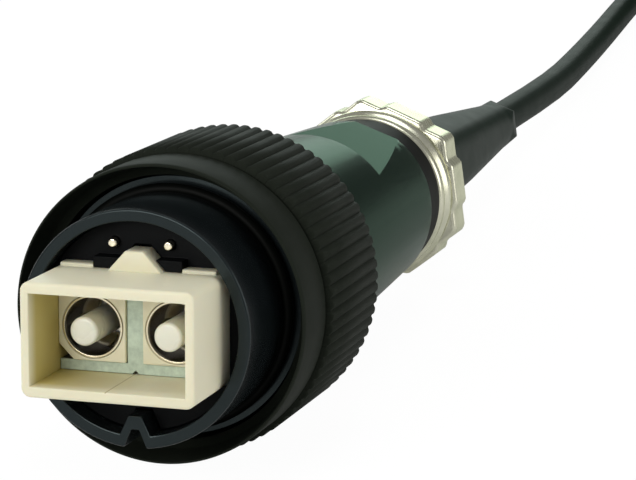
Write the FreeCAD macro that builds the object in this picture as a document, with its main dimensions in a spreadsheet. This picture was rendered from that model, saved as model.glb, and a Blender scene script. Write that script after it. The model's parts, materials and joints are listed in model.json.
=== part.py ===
import FreeCAD, Part
import math
import os
import re
import Sketcher

# Sealed round duplex fibre plug with its lead.
# The plug is drawn about its own axis: x to the right seen from the front, y rearwards from the
# barrel's front rim, z up. Every body is then tipped together, so that the plug lies on its ring and nut.

Vector = FreeCAD.Vector

SIZES = {
    # outer barrel and what sits on it
    "barrel_radius": 10.3,
    "barrel_wall": 1.07,
    "nose_length": 8.9,
    "seal_groove_depth": 0.4,
    "seal_groove_width": 1.5,
    "seal_section": 0.53,
    "flange_radius": 11.55,
    "flange_width": 3.0,
    "neck_radius": 10.52,
    "retainer_width": 1.0,
    "retainer_groove_depth": 0.6,
    "retainer_opening": 5.0,
    "neck_end_width": 2.0,
    "tail_radius": 9.75,
    "tail_wall": 1.15,
    "tail_length": 13.7,
    "rim_chamfer": 0.12,
    "keyway_length": 7.6,
    "keyway_mouth": 1.05,
    "keyway_floor": 0.35,
    "keyway_depth": 1.65,
    "keyway_skin": 1.2,
    "key_ridge_root": 1.62,
    "key_ridge_top": 0.6,
    # clearances
    "running_gap": 0.08,
    "play": 0.3,
    "seat_gap": 0.05,
    # coupling ring
    "ring_front_inset": 2.96,
    "ring_nose_radius": 13.2,
    "ring_nose_length": 5.96,
    "ring_nose_round": 1.6,
    "ring_groove_wall": 1.25,
    "ring_groove_width": 0.4,
    "knurl_radius": 13.75,
    "knurl_depth": 0.42,
    "knurl_groove_width": 0.5,
    "knurl_groove_floor": 0.18,
    "knurl_length": 14.0,
    "knurl_count": 78,
    "knurl_edge": 0.35,
    "ring_mouth_wall": 0.3,
    "ring_mouth_taper": 0.4,
    "ring_mouth_depth": 3.0,
    "ring_thread_gap": 0.2,
    "ring_shoulder_width": 2.3,
    "ring_grip_wall": 1.85,
    # contact carrier and contacts
    "carrier_setback": 2.3,
    "carrier_length": 14.2,
    "carrier_nose_length": 1.4,
    "carrier_nose_half_width": 4.0,
    "carrier_nose_height": 0.95,
    "pin_radius": 0.4,
    "pin_spacing": 5.0,
    "pin_height": 7.0,
    "pin_proud": 0.8,
    "pin_tip_round": 0.15,
    "solder_cup_radius": 0.65,
    "solder_cup_length": 2.4,
    "conductor_radius": 0.4,
    # duplex shroud
    "shroud_half_width": 7.65,
    "shroud_half_height": 4.9,
    "shroud_side_wall": 0.79,
    "shroud_floor_wall": 0.95,
    "shroud_corner": 0.8,
    "shroud_reach": 6.5,
    "shroud_rear": 14.4,
    "key_front": 0.5,
    "key_length": 3.9,
    "key_height": 1.95,
    "key_half_base": 2.45,
    "key_half_top": 0.6,
    "shoulder_front": 0.9,
    "shoulder_length": 1.4,
    "shoulder_height": 0.5,
    "shoulder_inner": 4.07,
    "shoulder_outer": 7.0,
    "rib_half_width": 0.95,
    "rib_height": 0.9,
    # cell divider and cells
    "divider_front": 0.3,
    "web_half_width": 0.72,
    "divider_floor": 0.97,
    "divider_notch": 0.3,
    "cell_corner": 1.3,
    "ferrule_pitch": 7.5,
    "sleeve_radius": 2.7,
    "sleeve_wall": 0.18,
    "sleeve_length": 6.4,
    "petal_length": 2.0,
    "petal_tip_radius": 1.95,
    "petal_slit": 0.24,
    "petal_slit_length": 2.8,
    "petal_count": 8,
    "cell_stop_width": 0.45,
    "cell_rear_wall": 1.4,
    # ferrules
    "ferrule_radius": 1.25,
    "ferrule_tip": 2.06,
    "ferrule_chamfer": 0.22,
    "ferrule_exposed": 6.3,
    "ferrule_tail_radius": 1.05,
    "ferrule_length": 10.5,
    "holder_flange_radius": 2.35,
    "holder_flange_width": 1.5,
    "holder_tube_radius": 1.45,
    "holder_tube_length": 7.4,
    "holder_bore_radius": 0.55,
    "spring_radius": 1.9,
    "spring_wire": 0.36,
    "spring_turns": 5,
    "fibre_radius": 0.45,
    "fibre_offset": 0.5,
    "fibre_end_gap": 1.5,
    "wires_gather": 50.0,
    "conductor_height": 1.05,
    "conductor_end_gap": 0.1,
    # rear body
    "collar_length": 5.0,
    "body_front_step": 1.15,
    "body_waist_radius": 9.3,
    "body_waist": 54.5,
    "body_rear_radius": 8.9,
    "body_rear": 62.7,
    "body_cavity_radius": 7.4,
    "body_end_wall": 2.0,
    "flat_front": 48.0,
    "flat_front_height": 8.2,
    "flat_rear_height": 8.6,
    "flat_turn": 20.0,
    "body_seal_setback": 1.0,
    "body_seal_depth": 0.75,
    "body_seal_section": 0.38,
    # gland
    "gland_neck_radius": 7.0,
    "gland_neck_length": 9.9,
    "gland_seal_radius": 8.35,
    "gland_seal_width": 5.1,
    "clamp_radius": 5.7,
    "clamp_length": 8.0,
    "clamp_slit": 0.8,
    "clamp_slit_length": 5.0,
    "nut_bead_radius": 8.65,
    "nut_bead_section": 0.6,
    "nut_collar_radius": 8.95,
    "nut_collar_section": 0.8,
    "nut_collar_length": 3.1,
    "nut_valley_radius": 8.3,
    "nut_hex_length": 4.0,
    "nut_flat_height": 8.75,
    "nut_turn": 38.0,
    "nut_pad_height": 0.5,
    "nut_pad_width": 4.6,
    "nut_rear_wall": 1.0,
    "nut_chamfer": 0.5,
    "thread_gap": 0.1,
    # boot
    "boot_neck_radius": 5.9,
    "boot_root_corner": 6.7,
    "boot_middle_corner": 5.0,
    "boot_middle": 25.0,
    "boot_tip_corner": 3.35,
    "boot_tip": 47.0,
    "boot_end_corner": 2.9,
    "boot_end": 49.3,
    # lead
    "cable_radius": 2.0,
    "cable_gap": 0.15,
    "cable_start": 61.0,
    "first_bend": 146.0,
    "drift_right": 0.27,
    "drift_down": 0.4,
    "crimp_radius": 2.95,
    "crimp_length": 6.0,
    "crimp_bore_radius": 1.75,
    "hank_fold_radius": 12.0,
    "hank_half_run": 30.0,
    "hank_layers": 5,
    "hank_chamfer": 1.2,
    "tie_width": 6.0,
    "tie_thickness": 0.4,
    "cap_radius": 2.9,
    "cap_length": 16.0,
    "cap_grip": 12.0,
    "cap_round": 1.2,
}

# Stations along the axis and radii that follow from the sizes above.
PLACES = {
    "barrel_bore": "barrel_radius - barrel_wall",
    "flange_front": "nose_length + seal_groove_width",
    "flange_rear": "flange_front + flange_width",
    "ring_front": "nose_length - ring_front_inset",
    "ring_nose_rear": "ring_front + ring_nose_length",
    "knurl_front": "ring_nose_rear + ring_groove_width",
    "ring_rear": "knurl_front + knurl_length",
    "ring_shoulder_front": "flange_rear + play",
    "ring_shoulder_rear": "ring_shoulder_front + ring_shoulder_width",
    "ring_crest": "flange_radius + ring_thread_gap",
    "ring_groove_radius": "ring_crest + ring_groove_wall",
    "ring_mouth_radius": "ring_nose_radius - ring_mouth_wall",
    "ring_bore_radius": "knurl_radius - ring_grip_wall",
    "retainer_radius": "ring_bore_radius - play",
    "retainer_front": "ring_shoulder_rear + play",
    "retainer_rear": "retainer_front + retainer_width",
    "retainer_floor": "neck_radius - retainer_groove_depth",
    "neck_end": "retainer_rear + neck_end_width",
    "tail_end": "neck_end + tail_length",
    "tail_bore": "tail_radius - tail_wall",
    "carrier_rear": "carrier_setback + carrier_length",
    "carrier_radius": "barrel_bore - seat_gap",
    "ridge_height": "barrel_radius - keyway_depth - keyway_skin",
    "opening_half_width": "shroud_half_width - shroud_side_wall",
    "opening_half_height": "shroud_half_height - shroud_floor_wall",
    "divider_top": "divider_floor - opening_half_height",
    "cell_inner": "web_half_width + seat_gap",
    "cell_outer": "opening_half_width - seat_gap",
    "cell_bottom": "divider_top + seat_gap",
    "cell_top": "opening_half_height - seat_gap",
    "cell_centre": "ferrule_pitch / 2",
    "sleeve_pocket": "sleeve_radius + seat_gap",
    "stop_rear": "sleeve_length + 2 * seat_gap + cell_stop_width",
    "holder_front": "stop_rear + seat_gap",
    "holder_flange_rear": "holder_front + holder_flange_width",
    "holder_rear": "holder_flange_rear + holder_tube_length",
    "spring_front": "holder_flange_rear + seat_gap",
    "spring_rear": "shroud_rear - cell_rear_wall - seat_gap",
    "ferrule_rear": "ferrule_length - ferrule_tip",
    "collar_rear": "neck_end + collar_length",
    "collar_radius": "ring_bore_radius - play",
    "body_front_radius": "ring_bore_radius - body_front_step",
    "gland_rear": "body_rear + gland_neck_length",
    "gland_bore": "clamp_radius + thread_gap",
    "seal_rear": "body_rear + seat_gap + gland_seal_width",
    "nut_front": "seal_rear + seat_gap",
    "hex_front": "nut_front + nut_collar_length",
    "hex_rear": "hex_front + nut_hex_length",
    "nut_lip": "hex_rear - nut_rear_wall",
    "nut_corner": "nut_flat_height / cos(30)",
    "cable_hole": "cable_radius + cable_gap",
    "clamp_front": "gland_rear - clamp_length",
    "crimp_rear": "clamp_front - seat_gap",
    "crimp_front": "crimp_rear - crimp_length",
    "knurl_edge_rear": "ring_rear - knurl_edge",
    "cable_span": "first_bend - cable_start",
    "boot_front": "gland_rear + seat_gap",
    "boot_root": "hex_rear + seat_gap",
    "boot_flange_radius": "gland_neck_radius - thread_gap",
    "hank_height": "2 * hank_layers * cable_radius",
    "hank_inner_radius": "hank_fold_radius - cable_radius",
    "hank_outer_radius": "hank_fold_radius + cable_radius",
    "tail_rise": "cap_radius - cable_radius",
}

document = FreeCAD.newDocument("duplex_plug")


def makeSheet(name, cells):
    sheet = document.addObject("Spreadsheet::Sheet", name)
    for row, (alias, content) in enumerate(cells.items(), start=1):
        sheet.set(f"A{row}", alias)
        sheet.set(f"B{row}", content)
        sheet.setAlias(f"B{row}", alias)
    return sheet


def bound(text):
    """Give each named size in a formula the name of the sheet that holds it."""
    def prefix(match):
        word = match.group(0)
        if word in SIZES:
            return "Sizes." + word
        return "Places." + word if word in PLACES else word
    return re.sub(r"[a-z][a-z_]*", prefix, text)


sizes = makeSheet("Sizes", {alias: str(value) for alias, value in SIZES.items()})
document.recompute()
places = makeSheet("Places", {
    alias: "=" + bound(text).replace("Places.", "") for alias, text in PLACES.items()})
document.recompute()


def value(text):
    """The number that a formula of named sizes stands for."""
    return float(sizes.evalExpression(bound(text)))


def negative(text):
    return f"-({text})"


def mirrored(side, text):
    return text if side > 0 else negative(text)


# The plug lies on the rear edge of the knurl and on the nut's lowest corner.
lowest_corner = math.radians(value("nut_turn") - 120)
nut_rest_height = -value("nut_corner") * math.sin(lowest_corner)
tilt = math.atan2(value("knurl_radius") - nut_rest_height, value("hex_rear - nut_chamfer - knurl_edge_rear"))
TIPPED = FreeCAD.Placement(Vector(), FreeCAD.Rotation(Vector(1, 0, 0), -math.degrees(tilt)))
floor_height = -value("knurl_edge_rear") * math.sin(tilt) - value("knurl_radius") * math.cos(tilt)

cuts = []


def newBody(name):
    body = document.addObject("PartDesign::Body", name)
    body.Label = name
    body.Placement = TIPPED
    return body


def originPlane(body, role):
    return next(plane for plane in body.Origin.OriginFeatures if plane.Role == role)


def newSketch(body, name, role="XY_Plane", station=None, across=None, turn=0, about=Vector(0, 0, 1)):
    """A sketch on one of the body's planes; station moves an XZ sketch rearwards."""
    sketch = body.newObject("Sketcher::SketchObject", name)
    sketch.AttachmentSupport = (originPlane(body, role), [""])
    sketch.MapMode = "FlatFace"
    sketch.AttachmentOffset = FreeCAD.Placement(Vector(), FreeCAD.Rotation(about, turn))
    if station:
        sketch.setExpression("AttachmentOffset.Base.z", bound(negative(station)))
    if across:
        sketch.setExpression("AttachmentOffset.Base.x", bound(across))
    return sketch


def bindPoint(sketch, line, point, texts):
    for kind, axis, text in zip(("DistanceX", "DistanceY"), (-2, -1), texts):
        number = value(text)
        if text == "0":
            sketch.addConstraint(Sketcher.Constraint("PointOnObject", line, point, axis))
        else:
            place = sketch.addConstraint(Sketcher.Constraint(kind, -1, 1, line, point, number))
            sketch.setExpression(f"Constraints[{place}]", bound(text))


def addOutline(sketch, points):
    """A closed outline whose corners are pairs of formulas."""
    corners = [Vector(value(across), value(up), 0) for across, up in points]
    first = sketch.GeometryCount
    lines = [Part.LineSegment(corner, following)
             for corner, following in zip(corners, corners[1:] + corners[:1])]
    sketch.addGeometry(lines, False)
    sketch.addConstraint([
        Sketcher.Constraint("Coincident", first + index, 2, first + (index + 1) % len(lines), 1)
        for index in range(len(lines))])
    for index, texts in enumerate(points):
        bindPoint(sketch, first + index, 1, texts)


def addCircle(sketch, across, up, radius):
    centre = Vector(value(across), value(up), 0)
    circle = sketch.addGeometry(Part.Circle(centre, Vector(0, 0, 1), value(radius)), False)
    bindPoint(sketch, circle, 3, (across, up))
    place = sketch.addConstraint(Sketcher.Constraint("Radius", circle, value(radius)))
    sketch.setExpression(f"Constraints[{place}]", bound(radius))


def rectangle(left, right, bottom, top):
    return [(left, bottom), (right, bottom), (right, top), (left, top)]


def spin(body, name, points):
    """Turn an outline of (radius, station) pairs about the plug's axis."""
    sketch = newSketch(body, name + "Outline")
    addOutline(sketch, points)
    return spinSketch(body, name, sketch)


def spinSketch(body, name, sketch, kind="Revolution", axis="V_Axis"):
    feature = body.newObject("PartDesign::" + kind, name)
    feature.Profile = sketch
    feature.ReferenceAxis = (sketch, [axis])
    feature.Angle = 360
    sketch.Visibility = False
    if kind == "Groove":
        cuts.append(feature)
    return feature


def extrude(body, name, sketch, length, rearwards=True):
    """Pad a sketch that faces forwards, towards the rear unless told otherwise."""
    feature = body.newObject("PartDesign::Pad", name)
    feature.Profile = sketch
    feature.setExpression("Length", bound(length))
    feature.Reversed = rearwards
    return feature


def cut(body, name, sketch, length, rearwards=True, midplane=False):
    """Pocket a sketch, towards the rear unless told otherwise."""
    feature = body.newObject("PartDesign::Pocket", name)
    feature.Profile = sketch
    feature.setExpression("Length", bound(length))
    feature.Reversed = not rearwards
    feature.Midplane = midplane
    cuts.append(feature)
    return feature


def repeatRound(body, name, feature, count):
    pattern = body.newObject("PartDesign::PolarPattern", name)
    pattern.Originals = [feature]
    pattern.Axis = (originPlane(body, "Y_Axis"), [""])
    pattern.Angle = 360
    pattern.Occurrences = count
    body.Tip = pattern
    return pattern


def tube(body, name, inner, outer, front, rear):
    return spin(body, name, rectangle(inner, outer, front, rear))


def roundEdges(body, name, radius, picks, kind="Fillet"):
    """Fillet or chamfer the edges of the tip for which picks(edge) holds."""
    document.recompute()
    base = body.Tip
    names = [f"Edge{index}" for index, edge in enumerate(base.Shape.Edges, start=1) if picks(edge)]
    feature = body.newObject("PartDesign::" + kind, name)
    feature.Base = (base, names)
    feature.setExpression("Radius" if kind == "Fillet" else "Size", bound(radius))
    return feature


def runsRearwards(edge):
    """True for a straight edge along the plug's axis."""
    return isinstance(edge.Curve, Part.Line) and abs(edge.tangentAt(edge.FirstParameter).y) > 1 - 1e-9


def liesAt(edge, station):
    return all(abs(vertex.Point.y - station) < 1e-6 for vertex in edge.Vertexes)


# Outer barrel: keyed nose, seal groove, stop flange, bearing neck and threaded tail.

barrel = newBody("plug_barrel")
spin(barrel, "Shell", [
    ("barrel_bore", "0"),
    ("barrel_radius - rim_chamfer", "0"),
    ("barrel_radius", "rim_chamfer"),
    ("barrel_radius", "nose_length"),
    ("barrel_radius - seal_groove_depth", "nose_length"),
    ("barrel_radius - seal_groove_depth", "flange_front"),
    ("flange_radius", "flange_front"),
    ("flange_radius", "flange_rear"),
    ("neck_radius", "flange_rear"),
    ("neck_radius", "retainer_front"),
    ("retainer_floor", "retainer_front"),
    ("retainer_floor", "retainer_rear"),
    ("neck_radius", "retainer_rear"),
    ("neck_radius", "neck_end"),
    ("tail_radius", "neck_end"),
    ("tail_radius", "neck_end + body_seal_setback"),
    ("tail_radius - body_seal_depth", "neck_end + body_seal_setback"),
    ("tail_radius - body_seal_depth", "neck_end + body_seal_setback + 2 * body_seal_section + 2 * seat_gap"),
    ("tail_radius", "neck_end + body_seal_setback + 2 * body_seal_section + 2 * seat_gap"),
    ("tail_radius", "tail_end"),
    ("tail_bore", "tail_end"),
    ("tail_bore", "carrier_rear + seat_gap"),
    ("barrel_bore", "carrier_rear + seat_gap"),
])
ridge = newSketch(barrel, "RidgeOutline", "XZ_Plane")
addOutline(ridge, [
    (negative("key_ridge_root"), negative("barrel_bore + seal_groove_depth")),
    ("key_ridge_root", negative("barrel_bore + seal_groove_depth")),
    ("key_ridge_top", negative("ridge_height")),
    (negative("key_ridge_top"), negative("ridge_height")),
])
extrude(barrel, "Ridge", ridge, "keyway_length + keyway_skin")
keyway = newSketch(barrel, "KeywayOutline", "XZ_Plane")
addOutline(keyway, [
    (negative("keyway_mouth"), negative("barrel_radius + play")),
    ("keyway_mouth", negative("barrel_radius + play")),
    ("keyway_mouth", negative("barrel_radius")),
    ("keyway_floor", negative("barrel_radius - keyway_depth")),
    (negative("keyway_floor"), negative("barrel_radius - keyway_depth")),
    (negative("keyway_mouth"), negative("barrel_radius")),
])
cut(barrel, "Keyway", keyway, "keyway_length")


def sealRing(name, radius, station, section):
    """An O-ring whose section's centre stands at a radius and a station."""
    body = newBody(name)
    sketch = newSketch(body, "Section")
    addCircle(sketch, radius, station, section)
    spinSketch(body, "Ring", sketch)


sealRing("barrel_seal", "barrel_radius - seal_groove_depth + seal_section",
         "nose_length + seal_groove_width / 2", "seal_section")
sealRing("body_seal", "tail_radius - body_seal_depth + body_seal_section",
         "neck_end + body_seal_setback + body_seal_section + seat_gap", "body_seal_section")


# Contact carrier: plug insert with the shroud's pocket, a low nose round the key and two contacts.

carrier = newBody("contact_carrier")
disc = newSketch(carrier, "DiscOutline", "XZ_Plane", "carrier_setback")
addCircle(disc, "0", "0", "carrier_radius")
extrude(carrier, "Disc", disc, "carrier_length")
nose = newSketch(carrier, "NoseOutline", "XZ_Plane", "carrier_setback - carrier_nose_length")
addOutline(nose, rectangle(
    negative("carrier_nose_half_width"), "carrier_nose_half_width",
    "shroud_half_height + seat_gap", "shroud_half_height + seat_gap + carrier_nose_height"))
extrude(carrier, "Nose", nose, "carrier_nose_length + seat_gap")
pocketOutline = newSketch(carrier, "ShroudPocketOutline", "XZ_Plane", "carrier_setback")
addOutline(pocketOutline, rectangle(
    negative("shroud_half_width + seat_gap"), "shroud_half_width + seat_gap",
    negative("shroud_half_height + seat_gap"), "shroud_half_height + seat_gap"))
cut(carrier, "ShroudPocket", pocketOutline, "shroud_rear + seat_gap - carrier_setback")
roundEdges(carrier, "PocketCorners", "shroud_corner", lambda edge: (
    runsRearwards(edge)
    and abs(abs(edge.Vertexes[0].Point.x) - value("shroud_half_width + seat_gap")) < 1e-6))
keySlot = newSketch(carrier, "KeySlotOutline", "XZ_Plane", "carrier_setback - carrier_nose_length")
addOutline(keySlot, [
    (negative("key_half_base + 2 * seat_gap"), "shroud_half_height"),
    ("key_half_base + 2 * seat_gap", "shroud_half_height"),
    ("key_half_top + 2 * seat_gap", "shroud_half_height + key_height + seat_gap"),
    (negative("key_half_top + 2 * seat_gap"), "shroud_half_height + key_height + seat_gap"),
])
cut(carrier, "KeySlot", keySlot,
    "key_front + key_length + seat_gap - carrier_setback + carrier_nose_length")
ridgeSlot = newSketch(carrier, "RidgeSlotOutline", "XZ_Plane", "carrier_setback")
addOutline(ridgeSlot, [
    (negative("key_ridge_root + 2 * seat_gap"), negative("carrier_radius + play")),
    ("key_ridge_root + 2 * seat_gap", negative("carrier_radius + play")),
    ("key_ridge_top + 2 * seat_gap", negative("ridge_height - 2 * seat_gap")),
    (negative("key_ridge_top + 2 * seat_gap"), negative("ridge_height - 2 * seat_gap")),
])
cut(carrier, "RidgeSlot", ridgeSlot, "keyway_length + keyway_skin + play - carrier_setback")
holes = newSketch(carrier, "ContactHoles", "XZ_Plane", "carrier_setback")
for side in (-1, 1):
    addCircle(holes, mirrored(side, "pin_spacing / 2"), "pin_height", "pin_radius + seat_gap")
cut(carrier, "ContactBores", holes, "carrier_length")
tails = newSketch(carrier, "TailHoles", "XZ_Plane", "shroud_rear")
for side in (-1, 1):
    addCircle(tails, mirrored(side, "cell_centre"), "0", "holder_tube_radius + play")
cut(carrier, "TailBores", tails, "carrier_rear - shroud_rear")

for side, word in ((-1, "left"), (1, "right")):
    pin = newBody("power_pin_" + word)
    across = mirrored(side, "pin_spacing / 2")
    shaft = newSketch(pin, "ShaftOutline", "XZ_Plane", "carrier_setback - pin_proud")
    addCircle(shaft, across, "pin_height", "pin_radius")
    extrude(pin, "Shaft", shaft, "pin_proud + carrier_length + seat_gap")
    roundEdges(pin, "Tip", "pin_tip_round",
               lambda edge: liesAt(edge, value("carrier_setback - pin_proud")))
    cup = newSketch(pin, "CupOutline", "XZ_Plane", "carrier_rear + seat_gap")
    addCircle(cup, across, "pin_height", "solder_cup_radius")
    extrude(pin, "Cup", cup, "solder_cup_length")
    well = newSketch(pin, "WellOutline", "XZ_Plane", "carrier_rear + seat_gap + solder_cup_length / 2")
    addCircle(well, across, "pin_height", "conductor_radius + seat_gap")
    cut(pin, "Well", well, "solder_cup_length / 2")


# Duplex shroud: thin rectangular sleeve with a bevelled key, two shoulders and a floor rib.

shroud = newBody("duplex_shroud")
wall = newSketch(shroud, "WallOutline", "XZ_Plane", negative("shroud_reach"))
addOutline(wall, rectangle(
    negative("shroud_half_width"), "shroud_half_width",
    negative("shroud_half_height"), "shroud_half_height"))
extrude(shroud, "Block", wall, "shroud_reach + shroud_rear")
roundEdges(shroud, "Corners", "shroud_corner", runsRearwards)
opening = newSketch(shroud, "OpeningOutline", "XZ_Plane", negative("shroud_reach"))
addOutline(opening, rectangle(
    negative("opening_half_width"), "opening_half_width",
    negative("opening_half_height"), "opening_half_height"))
cut(shroud, "Opening", opening, "shroud_reach + shroud_rear")
key = newSketch(shroud, "KeyOutline", "XZ_Plane", "key_front")
addOutline(key, [
    (negative("key_half_base"), "shroud_half_height - seat_gap"),
    ("key_half_base", "shroud_half_height - seat_gap"),
    ("key_half_base", "shroud_half_height"),
    ("key_half_top", "shroud_half_height + key_height"),
    (negative("key_half_top"), "shroud_half_height + key_height"),
    (negative("key_half_base"), "shroud_half_height"),
])
extrude(shroud, "Key", key, "key_length")
shoulders = newSketch(shroud, "ShoulderOutline", "XZ_Plane", "shoulder_front")
for side in (-1, 1):
    left, right = sorted(
        (mirrored(side, "shoulder_inner"), mirrored(side, "shoulder_outer")), key=value)
    addOutline(shoulders, rectangle(
        left, right, "shroud_half_height - shroud_floor_wall / 2", "shroud_half_height + shoulder_height"))
extrude(shroud, "Shoulders", shoulders, "shoulder_length")
rib = newSketch(shroud, "RibOutline", "XZ_Plane")
addOutline(rib, rectangle(
    negative("rib_half_width"), "rib_half_width",
    negative("shroud_half_height + rib_height"), negative("shroud_half_height - seat_gap")))
extrude(shroud, "Rib", rib, "carrier_setback - seat_gap")


# Cell divider: cast inverted T that parts the two fibre cells.

divider = newBody("cell_divider")
web = newSketch(divider, "TeeOutline", "XZ_Plane", "divider_front")
addOutline(web, [
    (negative("cell_outer"), negative("cell_top")),
    (negative("divider_notch"), negative("cell_top")),
    ("0", negative("cell_top - divider_notch")),
    ("divider_notch", negative("cell_top")),
    ("cell_outer", negative("cell_top")),
    ("cell_outer", "divider_top"),
    ("web_half_width", "divider_top"),
    ("web_half_width", "cell_top"),
    (negative("web_half_width"), "cell_top"),
    (negative("web_half_width"), "divider_top"),
    (negative("cell_outer"), "divider_top"),
])
extrude(divider, "Tee", web, "shroud_rear - divider_front")


# The two fibre cells, each with its housing, slotted sleeve, sprung ferrule and buffered fibre.

for side, word in ((-1, "left"), (1, "right")):
    centre = mirrored(side, "cell_centre")

    housing = newBody("cell_housing_" + word)
    block = newSketch(housing, "BlockOutline", "XZ_Plane")
    addOutline(block, [
        (mirrored(side, "cell_inner"), "cell_bottom"),
        (mirrored(side, "cell_outer - cell_corner"), "cell_bottom"),
        (mirrored(side, "cell_outer"), "cell_bottom + cell_corner"),
        (mirrored(side, "cell_outer"), "cell_top"),
        (mirrored(side, "cell_inner"), "cell_top"),
    ])
    extrude(housing, "Block", block, "shroud_rear")
    bores = (
        ("SleeveBore", "sleeve_pocket", "0", "sleeve_length + 2 * seat_gap"),
        ("StopBore", "petal_tip_radius", "0", "stop_rear + play"),
        ("SpringBore", "holder_flange_radius + seat_gap", "stop_rear", "spring_rear + seat_gap - stop_rear"),
        ("TubeBore", "holder_tube_radius + 2 * seat_gap", "spring_rear", "cell_rear_wall + 2 * seat_gap"),
    )
    for name, radius, station, depth in bores:
        bore = newSketch(housing, name + "Outline", "XZ_Plane", station)
        addCircle(bore, centre, "0", radius)
        cut(housing, name, bore, depth)

    def spinAtCell(body, name, points):
        """Turn an outline of (radius, station) pairs about this cell's own axis."""
        sketch = newSketch(body, name + "Outline", across=centre)
        addOutline(sketch, points)
        return spinSketch(body, name, sketch)

    sleeve = newBody("sleeve_" + word)
    spinAtCell(sleeve, "Tube", [
        ("sleeve_radius - sleeve_wall", "0"),
        ("sleeve_radius", "0"),
        ("sleeve_radius", "sleeve_length - petal_length"),
        ("petal_tip_radius + sleeve_wall", "sleeve_length"),
        ("petal_tip_radius", "sleeve_length"),
        ("sleeve_radius - sleeve_wall", "sleeve_length - petal_length"),
    ])
    for index in range(SIZES["petal_count"] // 2):
        slit = newSketch(sleeve, "SlitOutline", "XZ_Plane", "sleeve_length - petal_slit_length", centre,
                         turn=360 * index / SIZES["petal_count"])
        addOutline(slit, rectangle(
            negative("sleeve_pocket"), "sleeve_pocket", negative("petal_slit / 2"), "petal_slit / 2"))
        cut(sleeve, "Slit", slit, "petal_slit_length + seat_gap")

    ferrule = newBody("ferrule_" + word)
    spinAtCell(ferrule, "Rod", [
        ("0", negative("ferrule_tip")),
        ("ferrule_radius - ferrule_chamfer", negative("ferrule_tip")),
        ("ferrule_radius", negative("ferrule_tip - ferrule_chamfer")),
        ("ferrule_radius", "ferrule_exposed - ferrule_tip"),
        ("ferrule_tail_radius", "ferrule_exposed - ferrule_tip"),
        ("ferrule_tail_radius", "ferrule_rear"),
        ("0", "ferrule_rear"),
    ])

    holder = newBody("ferrule_holder_" + word)
    spinAtCell(holder, "Hub", [
        ("ferrule_tail_radius + seat_gap", "holder_front"),
        ("holder_flange_radius", "holder_front"),
        ("holder_flange_radius", "holder_flange_rear"),
        ("holder_tube_radius", "holder_flange_rear"),
        ("holder_tube_radius", "holder_rear"),
        ("holder_bore_radius", "holder_rear"),
        ("holder_bore_radius", "ferrule_rear"),
        ("ferrule_tail_radius + seat_gap", "ferrule_rear"),
    ])

    spring = newBody("ferrule_spring_" + word)
    wire = newSketch(spring, "WireOutline", across=centre)
    addOutline(wire, rectangle(
        "spring_radius - spring_wire / 2", "spring_radius + spring_wire / 2",
        "spring_front", "spring_front + spring_wire"))
    coil = spring.newObject("PartDesign::AdditiveHelix", "Coil")
    coil.Profile = wire
    coil.ReferenceAxis = (wire, ["V_Axis"])
    coil.Mode = "height-turns-angle"
    coil.setExpression("Height", bound("spring_rear - spring_front - spring_wire"))
    coil.setExpression("Turns", bound("spring_turns"))


# Coupling ring: smooth nose, knurled grip and a shoulder that runs on the barrel's neck.

ring = newBody("coupling_ring")
spin(ring, "Turning", [
    ("ring_mouth_radius", "ring_front"),
    ("ring_nose_radius - rim_chamfer", "ring_front"),
    ("ring_nose_radius", "ring_front + ring_nose_round"),
    ("ring_nose_radius", "ring_nose_rear"),
    ("ring_groove_radius", "ring_nose_rear"),
    ("ring_groove_radius", "knurl_front"),
    ("knurl_radius - knurl_depth", "knurl_front"),
    ("knurl_radius", "knurl_front + knurl_edge"),
    ("knurl_radius", "knurl_edge_rear"),
    ("knurl_radius - knurl_edge", "ring_rear"),
    ("ring_bore_radius", "ring_rear"),
    ("ring_bore_radius", "ring_shoulder_rear"),
    ("neck_radius + running_gap", "ring_shoulder_rear"),
    ("neck_radius + running_gap", "ring_shoulder_front"),
    ("ring_crest", "ring_shoulder_front"),
    ("ring_crest", "ring_front + ring_mouth_depth + ring_mouth_taper"),
    ("ring_mouth_radius - ring_mouth_taper", "ring_front + ring_mouth_depth"),
])
grip = newSketch(ring, "GrooveOutline", "XZ_Plane", "knurl_front",
                 turn=180 / SIZES["knurl_count"])
addOutline(grip, [
    (negative("knurl_groove_width / 2"), "knurl_radius + play"),
    (negative("knurl_groove_width / 2"), "knurl_radius"),
    (negative("knurl_groove_floor / 2"), "knurl_radius - knurl_depth"),
    ("knurl_groove_floor / 2", "knurl_radius - knurl_depth"),
    ("knurl_groove_width / 2", "knurl_radius"),
    ("knurl_groove_width / 2", "knurl_radius + play"),
])
repeatRound(ring, "Knurl", cut(ring, "KnurlGroove", grip, "knurl_length + play"), SIZES["knurl_count"])

retainer = newBody("ring_retainer")
tube(retainer, "Band", "retainer_floor + seat_gap", "retainer_radius", "retainer_front", "retainer_rear")
gap = newSketch(retainer, "GapOutline", "XZ_Plane", "retainer_front")
addOutline(gap, rectangle(
    negative("retainer_opening / 2"), "retainer_opening / 2", "0", "retainer_radius + play"))
cut(retainer, "Gap", gap, "retainer_width")


# Rear body: collar inside the ring, tapered shell with two wrench flats, threaded gland neck.

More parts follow.
